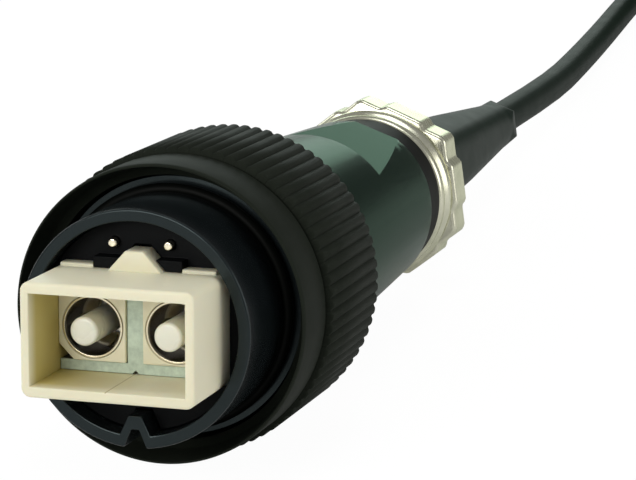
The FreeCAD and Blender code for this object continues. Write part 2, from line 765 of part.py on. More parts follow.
rearBody = newBody("rear_body")
spin(rearBody, "Shell", [
    ("tail_radius + seat_gap", "neck_end"),
    ("collar_radius", "neck_end"),
    ("collar_radius", "collar_rear"),
    ("body_front_radius", "collar_rear"),
    ("body_waist_radius", "body_waist"),
    ("body_rear_radius", "body_rear"),
    ("gland_neck_radius", "body_rear"),
    ("gland_neck_radius", "gland_rear"),
    ("gland_bore", "gland_rear"),
    ("gland_bore", "clamp_front"),
    ("crimp_radius + thread_gap", "clamp_front"),
    ("crimp_radius + thread_gap", "clamp_front - body_end_wall"),
    ("body_cavity_radius", "body_rear - 2 * body_end_wall"),
    ("body_cavity_radius", "tail_end + seat_gap"),
    ("tail_radius + seat_gap", "tail_end + seat_gap"),
])
flat = newSketch(rearBody, "FlatOutline", "YZ_Plane", turn=SIZES["flat_turn"], about=Vector(1, 0, 0))
addOutline(flat, [
    ("flat_front", "flat_front_height"),
    ("body_rear", "flat_rear_height"),
    ("body_rear + play", "flat_rear_height"),
    ("body_rear + play", "body_front_radius"),
    ("flat_front", "body_front_radius"),
])
repeatRound(rearBody, "WrenchFlats", cut(rearBody, "Flat", flat, "2 * body_front_radius", midplane=True), 2)


# Gland: crimp sleeve on the cable's end, clamping claw, seal and nut.

crimp = newBody("crimp_sleeve")
spin(crimp, "Sleeve", [
    ("crimp_bore_radius", "crimp_front"),
    ("crimp_radius", "crimp_front"),
    ("crimp_radius", "crimp_rear"),
    ("cable_radius + seat_gap", "crimp_rear"),
    ("cable_radius + seat_gap", "cable_start"),
    ("crimp_bore_radius", "cable_start"),
])

clamp = newBody("gland_clamp")
tube(clamp, "Bush", "cable_hole", "clamp_radius", "clamp_front", "gland_rear")
slit = newSketch(clamp, "SlitOutline", "XZ_Plane", "gland_rear - clamp_slit_length")
addOutline(slit, rectangle(
    negative("clamp_slit / 2"), "clamp_slit / 2", "cable_radius / 2", "clamp_radius + play"))
repeatRound(clamp, "Claws", cut(clamp, "ClampSlit", slit, "clamp_slit_length"), 6)

glandSeal = newBody("gland_seal")
tube(glandSeal, "Ring", "gland_neck_radius + seat_gap", "gland_seal_radius",
     "body_rear + seat_gap", "seal_rear")

nut = newBody("gland_nut")
tube(nut, "Collar", "gland_neck_radius + thread_gap", "nut_valley_radius", "nut_front", "hex_front")
beads = (
    ("FrontBead", "nut_bead_radius", "nut_bead_section", "nut_front + nut_bead_section"),
    ("RearBead", "nut_collar_radius", "nut_collar_section", "hex_front - nut_collar_section"),
)
for name, radius, section, station in beads:
    bead = newSketch(nut, name + "Section")
    addCircle(bead, f"{radius} - {section}", station, section)
    spinSketch(nut, name, bead)
hexagon = newSketch(nut, "HexOutline", "XZ_Plane", "hex_front", turn=SIZES["nut_turn"])
addOutline(hexagon, [
    (f"nut_corner * cos({60 * corner})", f"nut_corner * sin({60 * corner})") for corner in range(6)])
extrude(nut, "Hex", hexagon, "nut_hex_length")
pad = newSketch(nut, "PadOutline", "XZ_Plane", "hex_front", turn=SIZES["nut_turn"] - 60)
addOutline(pad, rectangle(
    negative("nut_pad_width / 2"), "nut_pad_width / 2",
    "nut_flat_height - nut_pad_height", "nut_flat_height + nut_pad_height"))
repeatRound(nut, "Pads", extrude(nut, "Pad", pad, "nut_hex_length"), 6)
thread = newSketch(nut, "ThreadBore", "XZ_Plane", "nut_front")
addCircle(thread, "0", "0", "gland_neck_radius + thread_gap")
cut(nut, "Thread", thread, "nut_lip - nut_front")
lip = newSketch(nut, "LipBore", "XZ_Plane", "nut_lip")
addCircle(lip, "0", "0", "boot_neck_radius + thread_gap")
cut(nut, "Lip", lip, "nut_rear_wall")
for name, edge, inner in (
        ("FrontChamfer", "hex_front", "hex_front + nut_chamfer"),
        ("RearChamfer", "hex_rear", "hex_rear - nut_chamfer")):
    bevel = newSketch(nut, name + "Outline")
    addOutline(bevel, [
        ("nut_corner - nut_chamfer", edge),
        ("nut_corner + play", edge),
        ("nut_corner + play", inner),
        ("nut_corner", inner),
    ])
    spinSketch(nut, name, bevel, kind="Groove")


# Strain relief boot: flange held in the nut, then a six-sided taper that leans with the cable.

def drift(size, station):
    """How far the cable's line has moved off the plug's axis at a station."""
    return f"{size} * ({station} - cable_start) / cable_span"


boot = newBody("strain_relief_boot")
tube(boot, "Flange", "cable_hole + play", "boot_flange_radius", "boot_front", "nut_lip - seat_gap")
neck = newSketch(boot, "NeckOutline", "XZ_Plane", "boot_front")
addCircle(neck, "0", "0", "boot_neck_radius")
extrude(boot, "Neck", neck, "boot_root - boot_front + seat_gap")
sections = []
for name, corner, station in (
        ("Root", "boot_root_corner", "boot_root"),
        ("Middle", "boot_middle_corner", "boot_root + boot_middle"),
        ("Tip", "boot_tip_corner", "boot_root + boot_tip"),
        ("End", "boot_end_corner", "boot_root + boot_end")):
    section = newSketch(boot, name + "Section", "XZ_Plane", station)
    addOutline(section, [
        (f"{drift('drift_right', station)} + {corner} * cos({angle} + nut_turn)",
         f"{corner} * sin({angle} + nut_turn) - {drift('drift_down', station)}")
        for angle in range(0, 360, 60)])
    sections.append(section)
taper = boot.newObject("PartDesign::AdditiveLoft", "Taper")
taper.Profile = sections[0]
taper.Sections = sections[1:]
taper.Ruled = True
passage = []
for name, station in (
        ("PassageFront", "boot_front - seat_gap"),
        ("PassageRear", "boot_root + boot_end + seat_gap")):
    hole = newSketch(boot, name, "XZ_Plane", station)
    addCircle(hole, drift("drift_right", station), negative(drift("drift_down", station)), "cable_hole")
    passage.append(hole)
tunnel = boot.newObject("PartDesign::SubtractiveLoft", "CablePassage")
tunnel.Profile = passage[0]
tunnel.Sections = [passage[1]]
cuts.append(tunnel)


# Leads: straight runs joined by tangent arcs.

def roundedPath(name, points):
    """A wire through the points, each turn an arc as large as its two runs allow."""
    edges = []
    start = points[0]
    radii = []
    for before, corner, after in zip(points, points[1:], points[2:]):
        back, forth = (before - corner), (after - corner)
        reach = 0.45 * min(back.Length, forth.Length)
        half_turn = (math.pi - back.getAngle(forth)) / 2
        radii.append(reach / math.tan(half_turn))
        into = corner + back.normalize() * reach
        out = corner + forth.normalize() * reach
        inwards = (into + out) * 0.5 - corner
        middle = corner + inwards.normalize() * radii[-1] * (1 / math.cos(half_turn) - 1)
        edges.append(Part.LineSegment(start, into).toShape())
        edges.append(Part.Arc(into, middle, out).toShape())
        start = out
    edges.append(Part.LineSegment(start, points[-1]).toShape())
    print(name, "bend radii", [round(radius, 1) for radius in radii])
    return Part.Wire(edges)


def addLead(name, radius, points, placement=FreeCAD.Placement()):
    path = roundedPath(name, points)
    profile = Part.Wire(Part.makeCircle(radius, points[0], points[1] - points[0]))
    solid = path.makePipeShell([profile], True, False)
    expected = math.pi * radius ** 2 * path.Length
    assert abs(solid.Volume - expected) < 0.002 * expected, f"{name} swept to a wrong volume"
    lead = document.addObject("Part::Feature", name)
    lead.Label = name
    lead.Shape = solid
    lead.Placement = placement
    return path.Length


for side, word in ((-1, "left"), (1, "right")):
    start = side * value("cell_centre")
    end = side * SIZES["fibre_offset"]
    addLead("fibre_" + word, SIZES["fibre_radius"], [
        Vector(start, value("ferrule_rear + seat_gap"), 0),
        Vector(start, value("holder_rear + ferrule_exposed"), 0),
        Vector(end, SIZES["wires_gather"], 0),
        Vector(end, value("cable_start - fibre_end_gap"), 0),
    ], TIPPED)
    start = side * value("pin_spacing / 2")
    addLead("conductor_" + word, SIZES["conductor_radius"], [
        Vector(start, value("carrier_rear + solder_cup_length / 2 + 2 * seat_gap"),
               SIZES["pin_height"]),
        Vector(start, value("carrier_rear + 4 * solder_cup_length"), SIZES["pin_height"]),
        Vector(end, SIZES["wires_gather"], SIZES["conductor_height"]),
        Vector(end, value("cable_start - conductor_end_gap"), SIZES["conductor_height"]),
    ], TIPPED)

# The lead lies on the surface, in the row's own axes: first along the boot, then on the floor, and
# last in a flat hank of stacked turns, whose top right run is the free end.
cableHeight = floor_height + SIZES["cable_radius"]
leadStart = TIPPED.multVec(Vector(0, value("cable_start + seat_gap"), 0))
firstBend = TIPPED.multVec(Vector(SIZES["drift_right"], SIZES["first_bend"], -SIZES["drift_down"]))
hankCentre = Vector(7.3, 292.0, floor_height + SIZES["tie_thickness"])
hankEntry = hankCentre + Vector(
    -SIZES["hank_fold_radius"], -SIZES["hank_half_run"], SIZES["cable_radius"])
cableLength = addLead("cable", SIZES["cable_radius"], [
    leadStart,
    firstBend,
    Vector(-2.4, 189.4, cableHeight),
    Vector(-4.7, 233.4, cableHeight),
    hankEntry,
])


def addStadium(sketch, radius, half_run):
    """A closed outline of two straight runs joined by half circles."""
    reach, end = value(radius), value(half_run)
    first = sketch.GeometryCount
    sketch.addGeometry([
        Part.LineSegment(Vector(reach, -end, 0), Vector(reach, end, 0)),
        Part.ArcOfCircle(Part.Circle(Vector(0, end, 0), Vector(0, 0, 1), reach), 0, math.pi),
        Part.LineSegment(Vector(-reach, end, 0), Vector(-reach, -end, 0)),
        Part.ArcOfCircle(Part.Circle(Vector(0, -end, 0), Vector(0, 0, 1), reach), math.pi, 2 * math.pi),
    ], False)
    sketch.addConstraint([
        Sketcher.Constraint("Coincident", first + index, 2, first + (index + 1) % 4, 1)
        for index in range(4)])
    bindPoint(sketch, first, 1, (radius, negative(half_run)))
    bindPoint(sketch, first, 2, (radius, half_run))
    bindPoint(sketch, first + 2, 1, (negative(radius), half_run))
    bindPoint(sketch, first + 2, 2, (negative(radius), negative(half_run)))
    for arc, up in ((first + 1, half_run), (first + 3, negative(half_run))):
        place = sketch.addConstraint(Sketcher.Constraint("DistanceY", -1, 1, arc, 3, value(up)))
        sketch.setExpression(f"Constraints[{place}]", bound(up))


hank = newBody("cable_coil")
hank.Placement = FreeCAD.Placement(hankCentre, FreeCAD.Rotation())
turns = newSketch(hank, "TurnsOutline")
addStadium(turns, "hank_outer_radius", "hank_half_run")
addStadium(turns, "hank_inner_radius", "hank_half_run")
extrude(hank, "Turns", turns, "hank_height", rearwards=False)
roundEdges(hank, "Edges", "hank_chamfer", lambda edge: (
    len({round(vertex.Point.z, 6) for vertex in edge.Vertexes}) == 1), "Chamfer")
channel = newSketch(hank, "ChannelOutline", "XZ_Plane", negative("hank_half_run + hank_outer_radius + play"))
addOutline(channel, rectangle(
    "0", "hank_outer_radius + play", "hank_height - 2 * cable_radius", "hank_height + play"))
cut(hank, "FreeEndChannel", channel, "2 * hank_half_run + hank_outer_radius + play")

for side, word, top in ((-1, "left", "hank_height"), (1, "right", "hank_height + tail_rise")):
    tie = newBody("coil_tie_" + word)
    tie.Placement = hank.Placement
    loop = newSketch(tie, "LoopOutline", "XZ_Plane", "-tie_width / 2")
    left, right = sorted((
        mirrored(side, "hank_inner_radius - seat_gap"),
        mirrored(side, "hank_outer_radius + seat_gap")), key=value)
    addOutline(loop, rectangle(
        f"{left} - tie_thickness", f"{right} + tie_thickness", "-tie_thickness", f"{top} + tie_thickness"))
    addOutline(loop, rectangle(left, right, "0", top))
    extrude(tie, "Loop", loop, "tie_width")

tailStart = hankCentre + Vector(
    SIZES["hank_fold_radius"], SIZES["hank_half_run"], value("hank_height - cable_radius"))
tailPoints = [
    tailStart,
    tailStart + Vector(0, -14.0, 0),
    tailStart + Vector(0, -30.0, value("tail_rise")),
    tailStart + Vector(0, -45.5, value("tail_rise")),
]
tailEnd = tailPoints[-1]
tailLength = addLead("cable_tail", SIZES["cable_radius"], tailPoints)
hankLength = value("2 * hank_layers - 1") * (2 * SIZES["hank_half_run"] + math.pi * SIZES["hank_fold_radius"])
print("lead", round(cableLength, 1), "hank", round(hankLength, 1), "tail", round(tailLength, 1))

cap = newBody("cable_end_cap")
outwards = (tailEnd - tailPoints[-2]).normalize()
cap.Placement = FreeCAD.Placement(
    tailEnd - outwards * SIZES["cap_grip"], FreeCAD.Rotation(Vector(0, 1, 0), outwards))
spin(cap, "Cap", [
    ("cable_radius + seat_gap", "0"),
    ("cap_radius", "0"),
    ("cap_radius", "cap_length - cap_round"),
    ("cap_radius - cap_round", "cap_length"),
    ("0", "cap_length"),
    ("0", "cap_grip + seat_gap"),
    ("cable_radius + seat_gap", "cap_grip + seat_gap"),
])


# Every piece is checked before any of them is written.

document.recompute()
for item in document.Objects:
    if {"Invalid", "Error"} & set(item.State):
        raise RuntimeError(f"{item.Label} failed to build")
for feature in cuts:
    if not feature.Shape.Volume < feature.BaseFeature.Shape.Volume - 1e-6:
        raise RuntimeError(f"{feature.Label} removes nothing")
pieces = [item for item in document.Objects
          if item.TypeId in ("PartDesign::Body", "Part::Feature")
          and item.getParentGeoFeatureGroup() is None]
for piece in pieces:
    if piece.Shape.isNull() or not piece.Shape.isValid():
        raise RuntimeError(f"{piece.Label} has no valid shape")

os.makedirs("parts", exist_ok=True)
for piece in pieces:
    piece.Shape.exportStep(f"parts/{piece.Label}.step")
print(len(pieces), "pieces, tilt", round(math.degrees(tilt), 3), "floor", round(floor_height, 3))
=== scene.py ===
import json
import math
import bpy
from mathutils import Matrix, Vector

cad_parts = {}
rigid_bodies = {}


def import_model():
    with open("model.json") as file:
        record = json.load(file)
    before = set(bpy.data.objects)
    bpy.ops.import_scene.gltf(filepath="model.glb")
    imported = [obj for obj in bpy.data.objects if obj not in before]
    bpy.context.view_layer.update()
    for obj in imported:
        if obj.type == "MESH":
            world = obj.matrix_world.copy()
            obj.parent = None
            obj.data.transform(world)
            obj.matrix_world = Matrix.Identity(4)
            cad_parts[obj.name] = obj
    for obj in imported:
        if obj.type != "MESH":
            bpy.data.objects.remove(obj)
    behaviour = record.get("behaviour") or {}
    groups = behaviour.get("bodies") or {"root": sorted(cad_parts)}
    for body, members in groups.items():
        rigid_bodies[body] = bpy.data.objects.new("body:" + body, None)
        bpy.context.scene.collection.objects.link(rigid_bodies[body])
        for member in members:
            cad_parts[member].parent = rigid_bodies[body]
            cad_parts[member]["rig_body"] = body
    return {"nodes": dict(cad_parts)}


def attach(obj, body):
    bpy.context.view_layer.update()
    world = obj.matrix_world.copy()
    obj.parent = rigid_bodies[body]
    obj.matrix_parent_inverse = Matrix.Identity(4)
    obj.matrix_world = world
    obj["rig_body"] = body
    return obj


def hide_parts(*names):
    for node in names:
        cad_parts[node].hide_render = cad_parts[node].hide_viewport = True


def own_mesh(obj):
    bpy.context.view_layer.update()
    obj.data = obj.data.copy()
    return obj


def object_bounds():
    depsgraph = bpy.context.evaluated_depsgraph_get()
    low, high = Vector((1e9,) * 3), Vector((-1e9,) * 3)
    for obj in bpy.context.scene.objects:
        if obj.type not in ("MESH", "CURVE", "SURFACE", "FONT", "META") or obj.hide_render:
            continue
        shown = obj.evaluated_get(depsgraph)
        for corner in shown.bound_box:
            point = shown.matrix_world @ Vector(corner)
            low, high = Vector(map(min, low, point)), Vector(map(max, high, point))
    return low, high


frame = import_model()
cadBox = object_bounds()

# The plug's own axis runs rearwards from the barrel's rim, and the plug lies tipped on its ring and nut.
plugTilt = math.radians(4.4105)
mm = 0.001


def deselectAll():
    bpy.ops.object.select_all(action="DESELECT")


def pickOnly(piece):
    deselectAll()
    piece.select_set(True)
    bpy.context.view_layer.objects.active = piece


def addCamera():
    view = {"place": (87.9, -225.64, 71.92), "turn": (75.0655, 1.1359, 17.286), "lens": 169.81, "sensor": 36,
            "nearest": 0.01, "farthest": 20}
    camera = bpy.data.objects.new("viewCamera", bpy.data.cameras.new("viewCamera"))
    bpy.context.scene.collection.objects.link(camera)
    camera.location = Vector(view["place"]) * mm
    camera.rotation_euler = [math.radians(angle) for angle in view["turn"]]
    camera.data.lens = view["lens"]
    camera.data.sensor_width = view["sensor"]
    camera.data.clip_start = view["nearest"]
    camera.data.clip_end = view["farthest"]
    bpy.context.scene.camera = camera
    bpy.context.scene.view_settings.view_transform = "Standard"


# places and sizes in metres
lamps = {
    "keyLamp": {"place": (-0.22, -0.80, 0.34), "aim": (0, 0.02, 0), "size": (0.5, 0.4), "watts": 4.2,
                "colour": (1.0, 0.99, 0.95)},
    "rightLamp": {"place": (0.75, 0.00, 0.22), "aim": (0, 0.05, 0), "size": (0.6, 0.4), "watts": 1.8,
                  "colour": (1.0, 0.99, 0.94)},
    "leftLamp": {"place": (-0.75, 0.15, 0.30), "aim": (0, 0.08, 0), "size": (0.7, 0.4), "watts": 2.0,
                 "colour": (0.98, 1.0, 0.98)},
    "rearLamp": {"place": (-0.28, 1.05, 0.26), "aim": (0, 0.06, 0), "size": (0.6, 0.36), "watts": 1.4,
                 "colour": (0.86, 1.0, 0.93)},
    "topLamp": {"place": (0.10, -0.05, 0.85), "aim": (0, 0.05, 0), "size": (0.35, 0.5), "watts": 2.0,
                "colour": (0.97, 1.0, 0.98)},
}


def addLamp(name, setting):
    lamp = bpy.data.objects.new(name, bpy.data.lights.new(name, "AREA"))
    bpy.context.scene.collection.objects.link(lamp)
    place, aim = Vector(setting["place"]), Vector(setting["aim"])
    lamp.location = place
    lamp.rotation_euler = (aim - place).to_track_quat("-Z", "Y").to_euler()
    lamp.data.shape = "RECTANGLE"
    lamp.data.size, lamp.data.size_y = setting["size"]
    lamp.data.energy = setting["watts"]
    lamp.data.color = setting["colour"]


addCamera()
for lampName, lampSetting in lamps.items():
    addLamp(lampName, lampSetting)
print("camera and lamps placed", len(lamps))


def feed(tree, socket, value):
    # a socket takes what another one gives, or a fixed value
    if isinstance(value, bpy.types.NodeSocket):
        tree.links.new(value, socket)
    else:
        socket.default_value = value


def addMath(tree, operation, *values, clamp=False):
    node = tree.nodes.new("ShaderNodeMath")
    node.operation = operation
    node.use_clamp = clamp
    for socket, value in zip(node.inputs, values):
        feed(tree, socket, value)
    return node.outputs[0]


def addMix(tree, factor, first, second):
    # two colours blended by a factor
    mix = tree.nodes.new("ShaderNodeMix")
    mix.data_type = "RGBA"
    feed(tree, mix.inputs["Factor"], factor)
    feed(tree, mix.inputs["A"], first)
    feed(tree, mix.inputs["B"], second)
    return mix.outputs["Result"]


def addNoise(tree, vector, scale, detail, roughness=0.5):
    noise = tree.nodes.new("ShaderNodeTexNoise")
    for label, value in (("Vector", vector), ("Scale", scale), ("Detail", detail), ("Roughness", roughness)):
        feed(tree, noise.inputs[label], value)
    return noise.outputs["Fac"]


def addSway(tree, noise, amount, base, clamp=False):
    # the noise, centred and scaled, goes up and down about a base value
    centred = addMath(tree, "SUBTRACT", noise, 0.5)
    return addMath(tree, "MULTIPLY_ADD", centred, amount, base, clamp=clamp)


def addRays(tree, seenShare, mirroredShare):
    # how much a ray meets the plain bright surroundings
    path = tree.nodes.new("ShaderNodeLightPath")
    seen = addMath(tree, "MAXIMUM", path.outputs["Is Camera Ray"], path.outputs["Is Transmission Ray"])
    mirrored = addMath(tree, "MULTIPLY", path.outputs["Is Glossy Ray"], mirroredShare)
    return addMath(tree, "MULTIPLY_ADD", seen, seenShare, mirrored)


def makeWorld():
    setting = {"seen": 1.0, "mirrored": 0.12, "lighting": 0.24, "white": 1.0}
    world = bpy.data.worlds.new("studio")
    world.use_nodes = True
    bpy.context.scene.world = world
    tree = world.node_tree
    tree.nodes.clear()
    strength = tree.nodes.new("ShaderNodeMapRange")
    strength.inputs["To Min"].default_value = setting["lighting"]
    strength.inputs["To Max"].default_value = setting["white"]
    feed(tree, strength.inputs["Value"], addRays(tree, setting["seen"], setting["mirrored"]))
    background = tree.nodes.new("ShaderNodeBackground")
    background.inputs["Color"].default_value = (1, 1, 1, 1)
    feed(tree, background.inputs["Strength"], strength.outputs["Result"])
    output = tree.nodes.new("ShaderNodeOutputWorld")
    feed(tree, output.inputs["Surface"], background.outputs[0])


def makeFloor():
    setting = {"size": 3.0, "middle": 0.1, "gap": 0.02, "seen": 0.94, "mirrored": 0.2, "glow": 1.03,
               "colour": (0.9, 0.9, 0.89)}
    deselectAll()
    bpy.ops.mesh.primitive_plane_add(
        size=setting["size"], location=(0, setting["middle"], cadBox[0].z - setting["gap"] * mm))
    floor = bpy.context.object
    floor.name = "studioFloor"
    material = bpy.data.materials.new("paleFloor")
    material.use_nodes = True
    tree = material.node_tree
    tree.nodes.clear()
    matt = tree.nodes.new("ShaderNodeBsdfDiffuse")
    matt.inputs["Color"].default_value = (*setting["colour"], 1)
    glow = tree.nodes.new("ShaderNodeEmission")
    glow.inputs["Strength"].default_value = setting["glow"]
    mix = tree.nodes.new("ShaderNodeMixShader")
    feed(tree, mix.inputs["Fac"], addRays(tree, setting["seen"], setting["mirrored"]))
    feed(tree, mix.inputs[1], matt.outputs[0])
    feed(tree, mix.inputs[2], glow.outputs[0])
    output = tree.nodes.new("ShaderNodeOutputMaterial")
    feed(tree, output.inputs["Surface"], mix.outputs[0])
    floor.data.materials.append(material)


makeWorld()
makeFloor()
print("studio made")


def newGroup(name, inputs, outputs):
    group = bpy.data.node_groups.new(name, "ShaderNodeTree")
    for label, kind, value in inputs:
        socket = group.interface.new_socket(name=label, in_out="INPUT", socket_type=kind)
        if value is not None:
            socket.default_value = value
    for label, kind in outputs:
        group.interface.new_socket(name=label, in_out="OUTPUT", socket_type=kind)
    entry = group.nodes.new("NodeGroupInput")
    leave = group.nodes.new("NodeGroupOutput")
    return group, entry.outputs, leave.inputs


def splitVector(tree, vector):
    parts = tree.nodes.new("ShaderNodeSeparateXYZ")
    feed(tree, parts.inputs[0], vector)
    return parts.outputs["X"], parts.outputs["Y"], parts.outputs["Z"]


def makeMouldGrain():
    # fine moulded grain with soft patches of shine
    group, given, result = newGroup(
        "mouldGrain",
        [("Vector", "NodeSocketVector", None), ("Grain Scale", "NodeSocketFloat", 9.0),
         ("Roughness", "NodeSocketFloat", 0.5), ("Patch Amount", "NodeSocketFloat", 0.08)],
        [("Roughness", "NodeSocketFloat"), ("Height", "NodeSocketFloat")])
    grain = addNoise(group, given["Vector"], given["Grain Scale"], detail=4)
    patches = addNoise(group, given["Vector"], 0.35, detail=2)
    feed(group, result["Roughness"], addSway(group, patches, given["Patch Amount"], given["Roughness"]))
    feed(group, result["Height"], grain)
    return group


def makeTurnedLines():
    # fine turning marks round the plug's axis
    group, given, result = newGroup(
        "turnedLines",
        [("Vector", "NodeSocketVector", None), ("Line Scale", "NodeSocketFloat", 14.0),
         ("Roughness", "NodeSocketFloat", 0.3), ("Line Amount", "NodeSocketFloat", 0.12)],
        [("Roughness", "NodeSocketFloat"), ("Height", "NodeSocketFloat")])
    acrossStretch = 0.03
    across, along, _ = splitVector(group, given["Vector"])
    stretched = group.nodes.new("ShaderNodeCombineXYZ")
    feed(group, stretched.inputs["X"], addMath(group, "MULTIPLY", across, acrossStretch))
    feed(group, stretched.inputs["Y"], along)
    lines = addNoise(group, stretched.outputs[0], given["Line Scale"], detail=3)
    feed(group, result["Roughness"], addSway(group, lines, given["Line Amount"], given["Roughness"]))
    feed(group, result["Height"], lines)
    return group


def makeMottle():
    # two tones in soft uneven patches with fine specks
    group, given, result = newGroup(
        "mottle",
        [("Vector", "NodeSocketVector", None), ("Light Tone", "NodeSocketColor", (1, 1, 1, 1)),
         ("Dark Tone", "NodeSocketColor", (0.5, 0.5, 0.5, 1)), ("Mottle Scale", "NodeSocketFloat", 1.0),
         ("Contrast", "NodeSocketFloat", 1.0)],
        [("Color", "NodeSocketColor")])
    cloud = addNoise(group, given["Vector"], given["Mottle Scale"], detail=6, roughness=0.6)
    share = addSway(group, cloud, given["Contrast"], 0.5, clamp=True)
    feed(group, result["Color"], addMix(group, share, given["Dark Tone"], given["Light Tone"]))
    return group


def makeOpeningShadeAndSeam():
    # painted shade and glow: a warmer, darker tone down the shroud's opening, strongest towards its left wall,
    # standing in for the shade there and light glowing through the plastic; and the opening's parting line
    opening = {"halfWidth": 6.93, "halfHeight": 4.02, "warmFrom": -6.6, "warmOver": 1.8, "sideSlope": -0.12,
               "sideMiddle": 0.24, "lineX": -0.12, "lineHalf": 0.06, "lineBelow": -3.7, "lineShare": 0.8,
               "lineTone": (0.42, 0.34, 0.17)}
    group, given, result = newGroup(
        "insideTint",
        [("Vector", "NodeSocketVector", None), ("Color", "NodeSocketColor", (1, 1, 1, 1)),
         ("Shade Tone", "NodeSocketColor", (0.53, 0.43, 0.12, 1)), ("Amount", "NodeSocketFloat", 0.7)],
        [("Color", "NodeSocketColor")])
    across, along, up = splitVector(group, given["Vector"])
    widthShare = addMath(group, "MULTIPLY", addMath(group, "ABSOLUTE", across), 1 / opening["halfWidth"])
    heightShare = addMath(group, "MULTIPLY", addMath(group, "ABSOLUTE", up), 1 / opening["halfHeight"])
    within = addMath(group, "LESS_THAN", addMath(group, "MAXIMUM", widthShare, heightShare), 1.0)
    # painted shade: the warm dark tone grows down the opening and towards its left wall
    depth = addMath(group, "MULTIPLY_ADD", along, 1 / opening["warmOver"],
                    -opening["warmFrom"] / opening["warmOver"], clamp=True)
    onLeft = addMath(group, "MULTIPLY_ADD", across, opening["sideSlope"], opening["sideMiddle"], clamp=True)
    strength = addMath(group, "MULTIPLY", addMath(group, "MULTIPLY", depth, onLeft), within)
    warmShare = addMath(group, "MULTIPLY", strength, given["Amount"])
    warm = addMix(group, warmShare, given["Color"], given["Shade Tone"])
    offLine = addMath(group, "ABSOLUTE", addMath(group, "SUBTRACT", across, opening["lineX"]))
    line = addMath(group, "MULTIPLY", addMath(group, "LESS_THAN", offLine, opening["lineHalf"]), within)
    seam = addMath(group, "MULTIPLY", addMath(group, "LESS_THAN", up, opening["lineBelow"]), line)
    seamShare = addMath(group, "MULTIPLY", seam, opening["lineShare"])
    feed(group, result["Color"], addMix(group, seamShare, warm, (*opening["lineTone"], 1)))
    return group


def makeDeepShade():
    # painted shade: a dark tone between two stations, standing in for the shade deep in bores and gaps
    group, given, result = newGroup(
        "deepShade",
        [("Vector", "NodeSocketVector", None), ("Color", "NodeSocketColor", (1, 1, 1, 1)),
         ("Shade Tone", "NodeSocketColor", (0.02, 0.016, 0.008, 1)), ("From", "NodeSocketFloat", 0.2),
         ("Until", "NodeSocketFloat", 100.0)],
        [("Color", "NodeSocketColor")])
    steepness = 2.5
    _, along, _ = splitVector(group, given["Vector"])
    past = addMath(group, "SUBTRACT", along, given["From"])
    before = addMath(group, "SUBTRACT", given["Until"], along)
    pastShare = addMath(group, "MULTIPLY", past, steepness, clamp=True)
    beforeShare = addMath(group, "MULTIPLY", before, steepness, clamp=True)
    both = addMath(group, "MULTIPLY", pastShare, beforeShare)
    feed(group, result["Color"], addMix(group, both, given["Color"], given["Shade Tone"]))
    return group


mouldGrain = makeMouldGrain()
turnedLines = makeTurnedLines()
mottle = makeMottle()
insideTint = makeOpeningShadeAndSeam()
deepShade = makeDeepShade()
print("surface effects made")


def startMaterial(name):
    # the shader, and coordinates in millimetres along the plug's own axes
    material = bpy.data.materials.new(name)
    material.use_nodes = True
    tree = material.node_tree
    place = tree.nodes.new("ShaderNodeTexCoord")
    turn = tree.nodes.new("ShaderNodeMapping")
    turn.inputs["Rotation"].default_value = (plugTilt, 0, 0)
    turn.inputs["Scale"].default_value = (1000, 1000, 1000)
    feed(tree, turn.inputs["Vector"], place.outputs["Object"])
    return material, tree, tree.nodes["Principled BSDF"], turn.outputs["Vector"]


def useGroup(tree, group, vector, settings):
    node = tree.nodes.new("ShaderNodeGroup")
    node.node_tree = group
    feed(tree, node.inputs["Vector"], vector)
    for label, value in settings.items():
        feed(tree, node.inputs[label], value)
    return node.outputs


def makeSurface(name, look):
    usual = {"mottle": 0.5, "contrast": 1.5, "patch": 0.1, "grain": 9.0, "bump": 0.2, "metal": 0.0,
             "specular": 0.5, "tint": (1, 1, 1), "bumpDistance": 0.02, "glowRadius": (1.0, 0.7, 0.4),
             "glowDepth": 0.6}
    material, tree, shader, vector = startMaterial(name)
    look = {**usual, **look}
    colour = useGroup(tree, mottle, vector, {
        "Light Tone": (*look["light"], 1), "Dark Tone": (*look["dark"], 1),
        "Mottle Scale": look["mottle"], "Contrast": look["contrast"]})["Color"]
    # painted shade and glow down the shroud's opening, and its parting line
    if "inside" in look:
        colour = useGroup(tree, insideTint, vector, {"Color": colour, "Amount": look["inside"]})["Color"]
    # painted shade deep in bores and gaps
    if "deep" in look:
        start, end, tone = look["deep"]
        colour = useGroup(tree, deepShade, vector, {
            "Color": colour, "From": start, "Until": end, "Shade Tone": (*tone, 1)})["Color"]
    if "turned" in look:
        finish = useGroup(tree, turnedLines, vector, {
            "Line Scale": look["turned"], "Roughness": look["rough"], "Line Amount": look["patch"]})
    else:
        finish = useGroup(tree, mouldGrain, vector, {
            "Grain Scale": look["grain"], "Roughness": look["rough"], "Patch Amount": look["patch"]})
    bump = tree.nodes.new("ShaderNodeBump")
    bump.inputs["Strength"].default_value = look["bump"]
    bump.inputs["Distance"].default_value = look["bumpDistance"] * mm
    feed(tree, bump.inputs["Height"], finish["Height"])
    feed(tree, shader.inputs["Normal"], bump.outputs["Normal"])
    feed(tree, shader.inputs["Base Color"], colour)
    feed(tree, shader.inputs["Roughness"], finish["Roughness"])
    shader.inputs["Metallic"].default_value = look["metal"]
    shader.inputs["Specular IOR Level"].default_value = look["specular"]
    shader.inputs["Specular Tint"].default_value = (*look["tint"], 1)
    if "glow" in look:
        shader.inputs["Subsurface Weight"].default_value = look["glow"]
        shader.inputs["Subsurface Radius"].default_value = look["glowRadius"]
        shader.inputs["Subsurface Scale"].default_value = look["glowDepth"] * mm
    return material


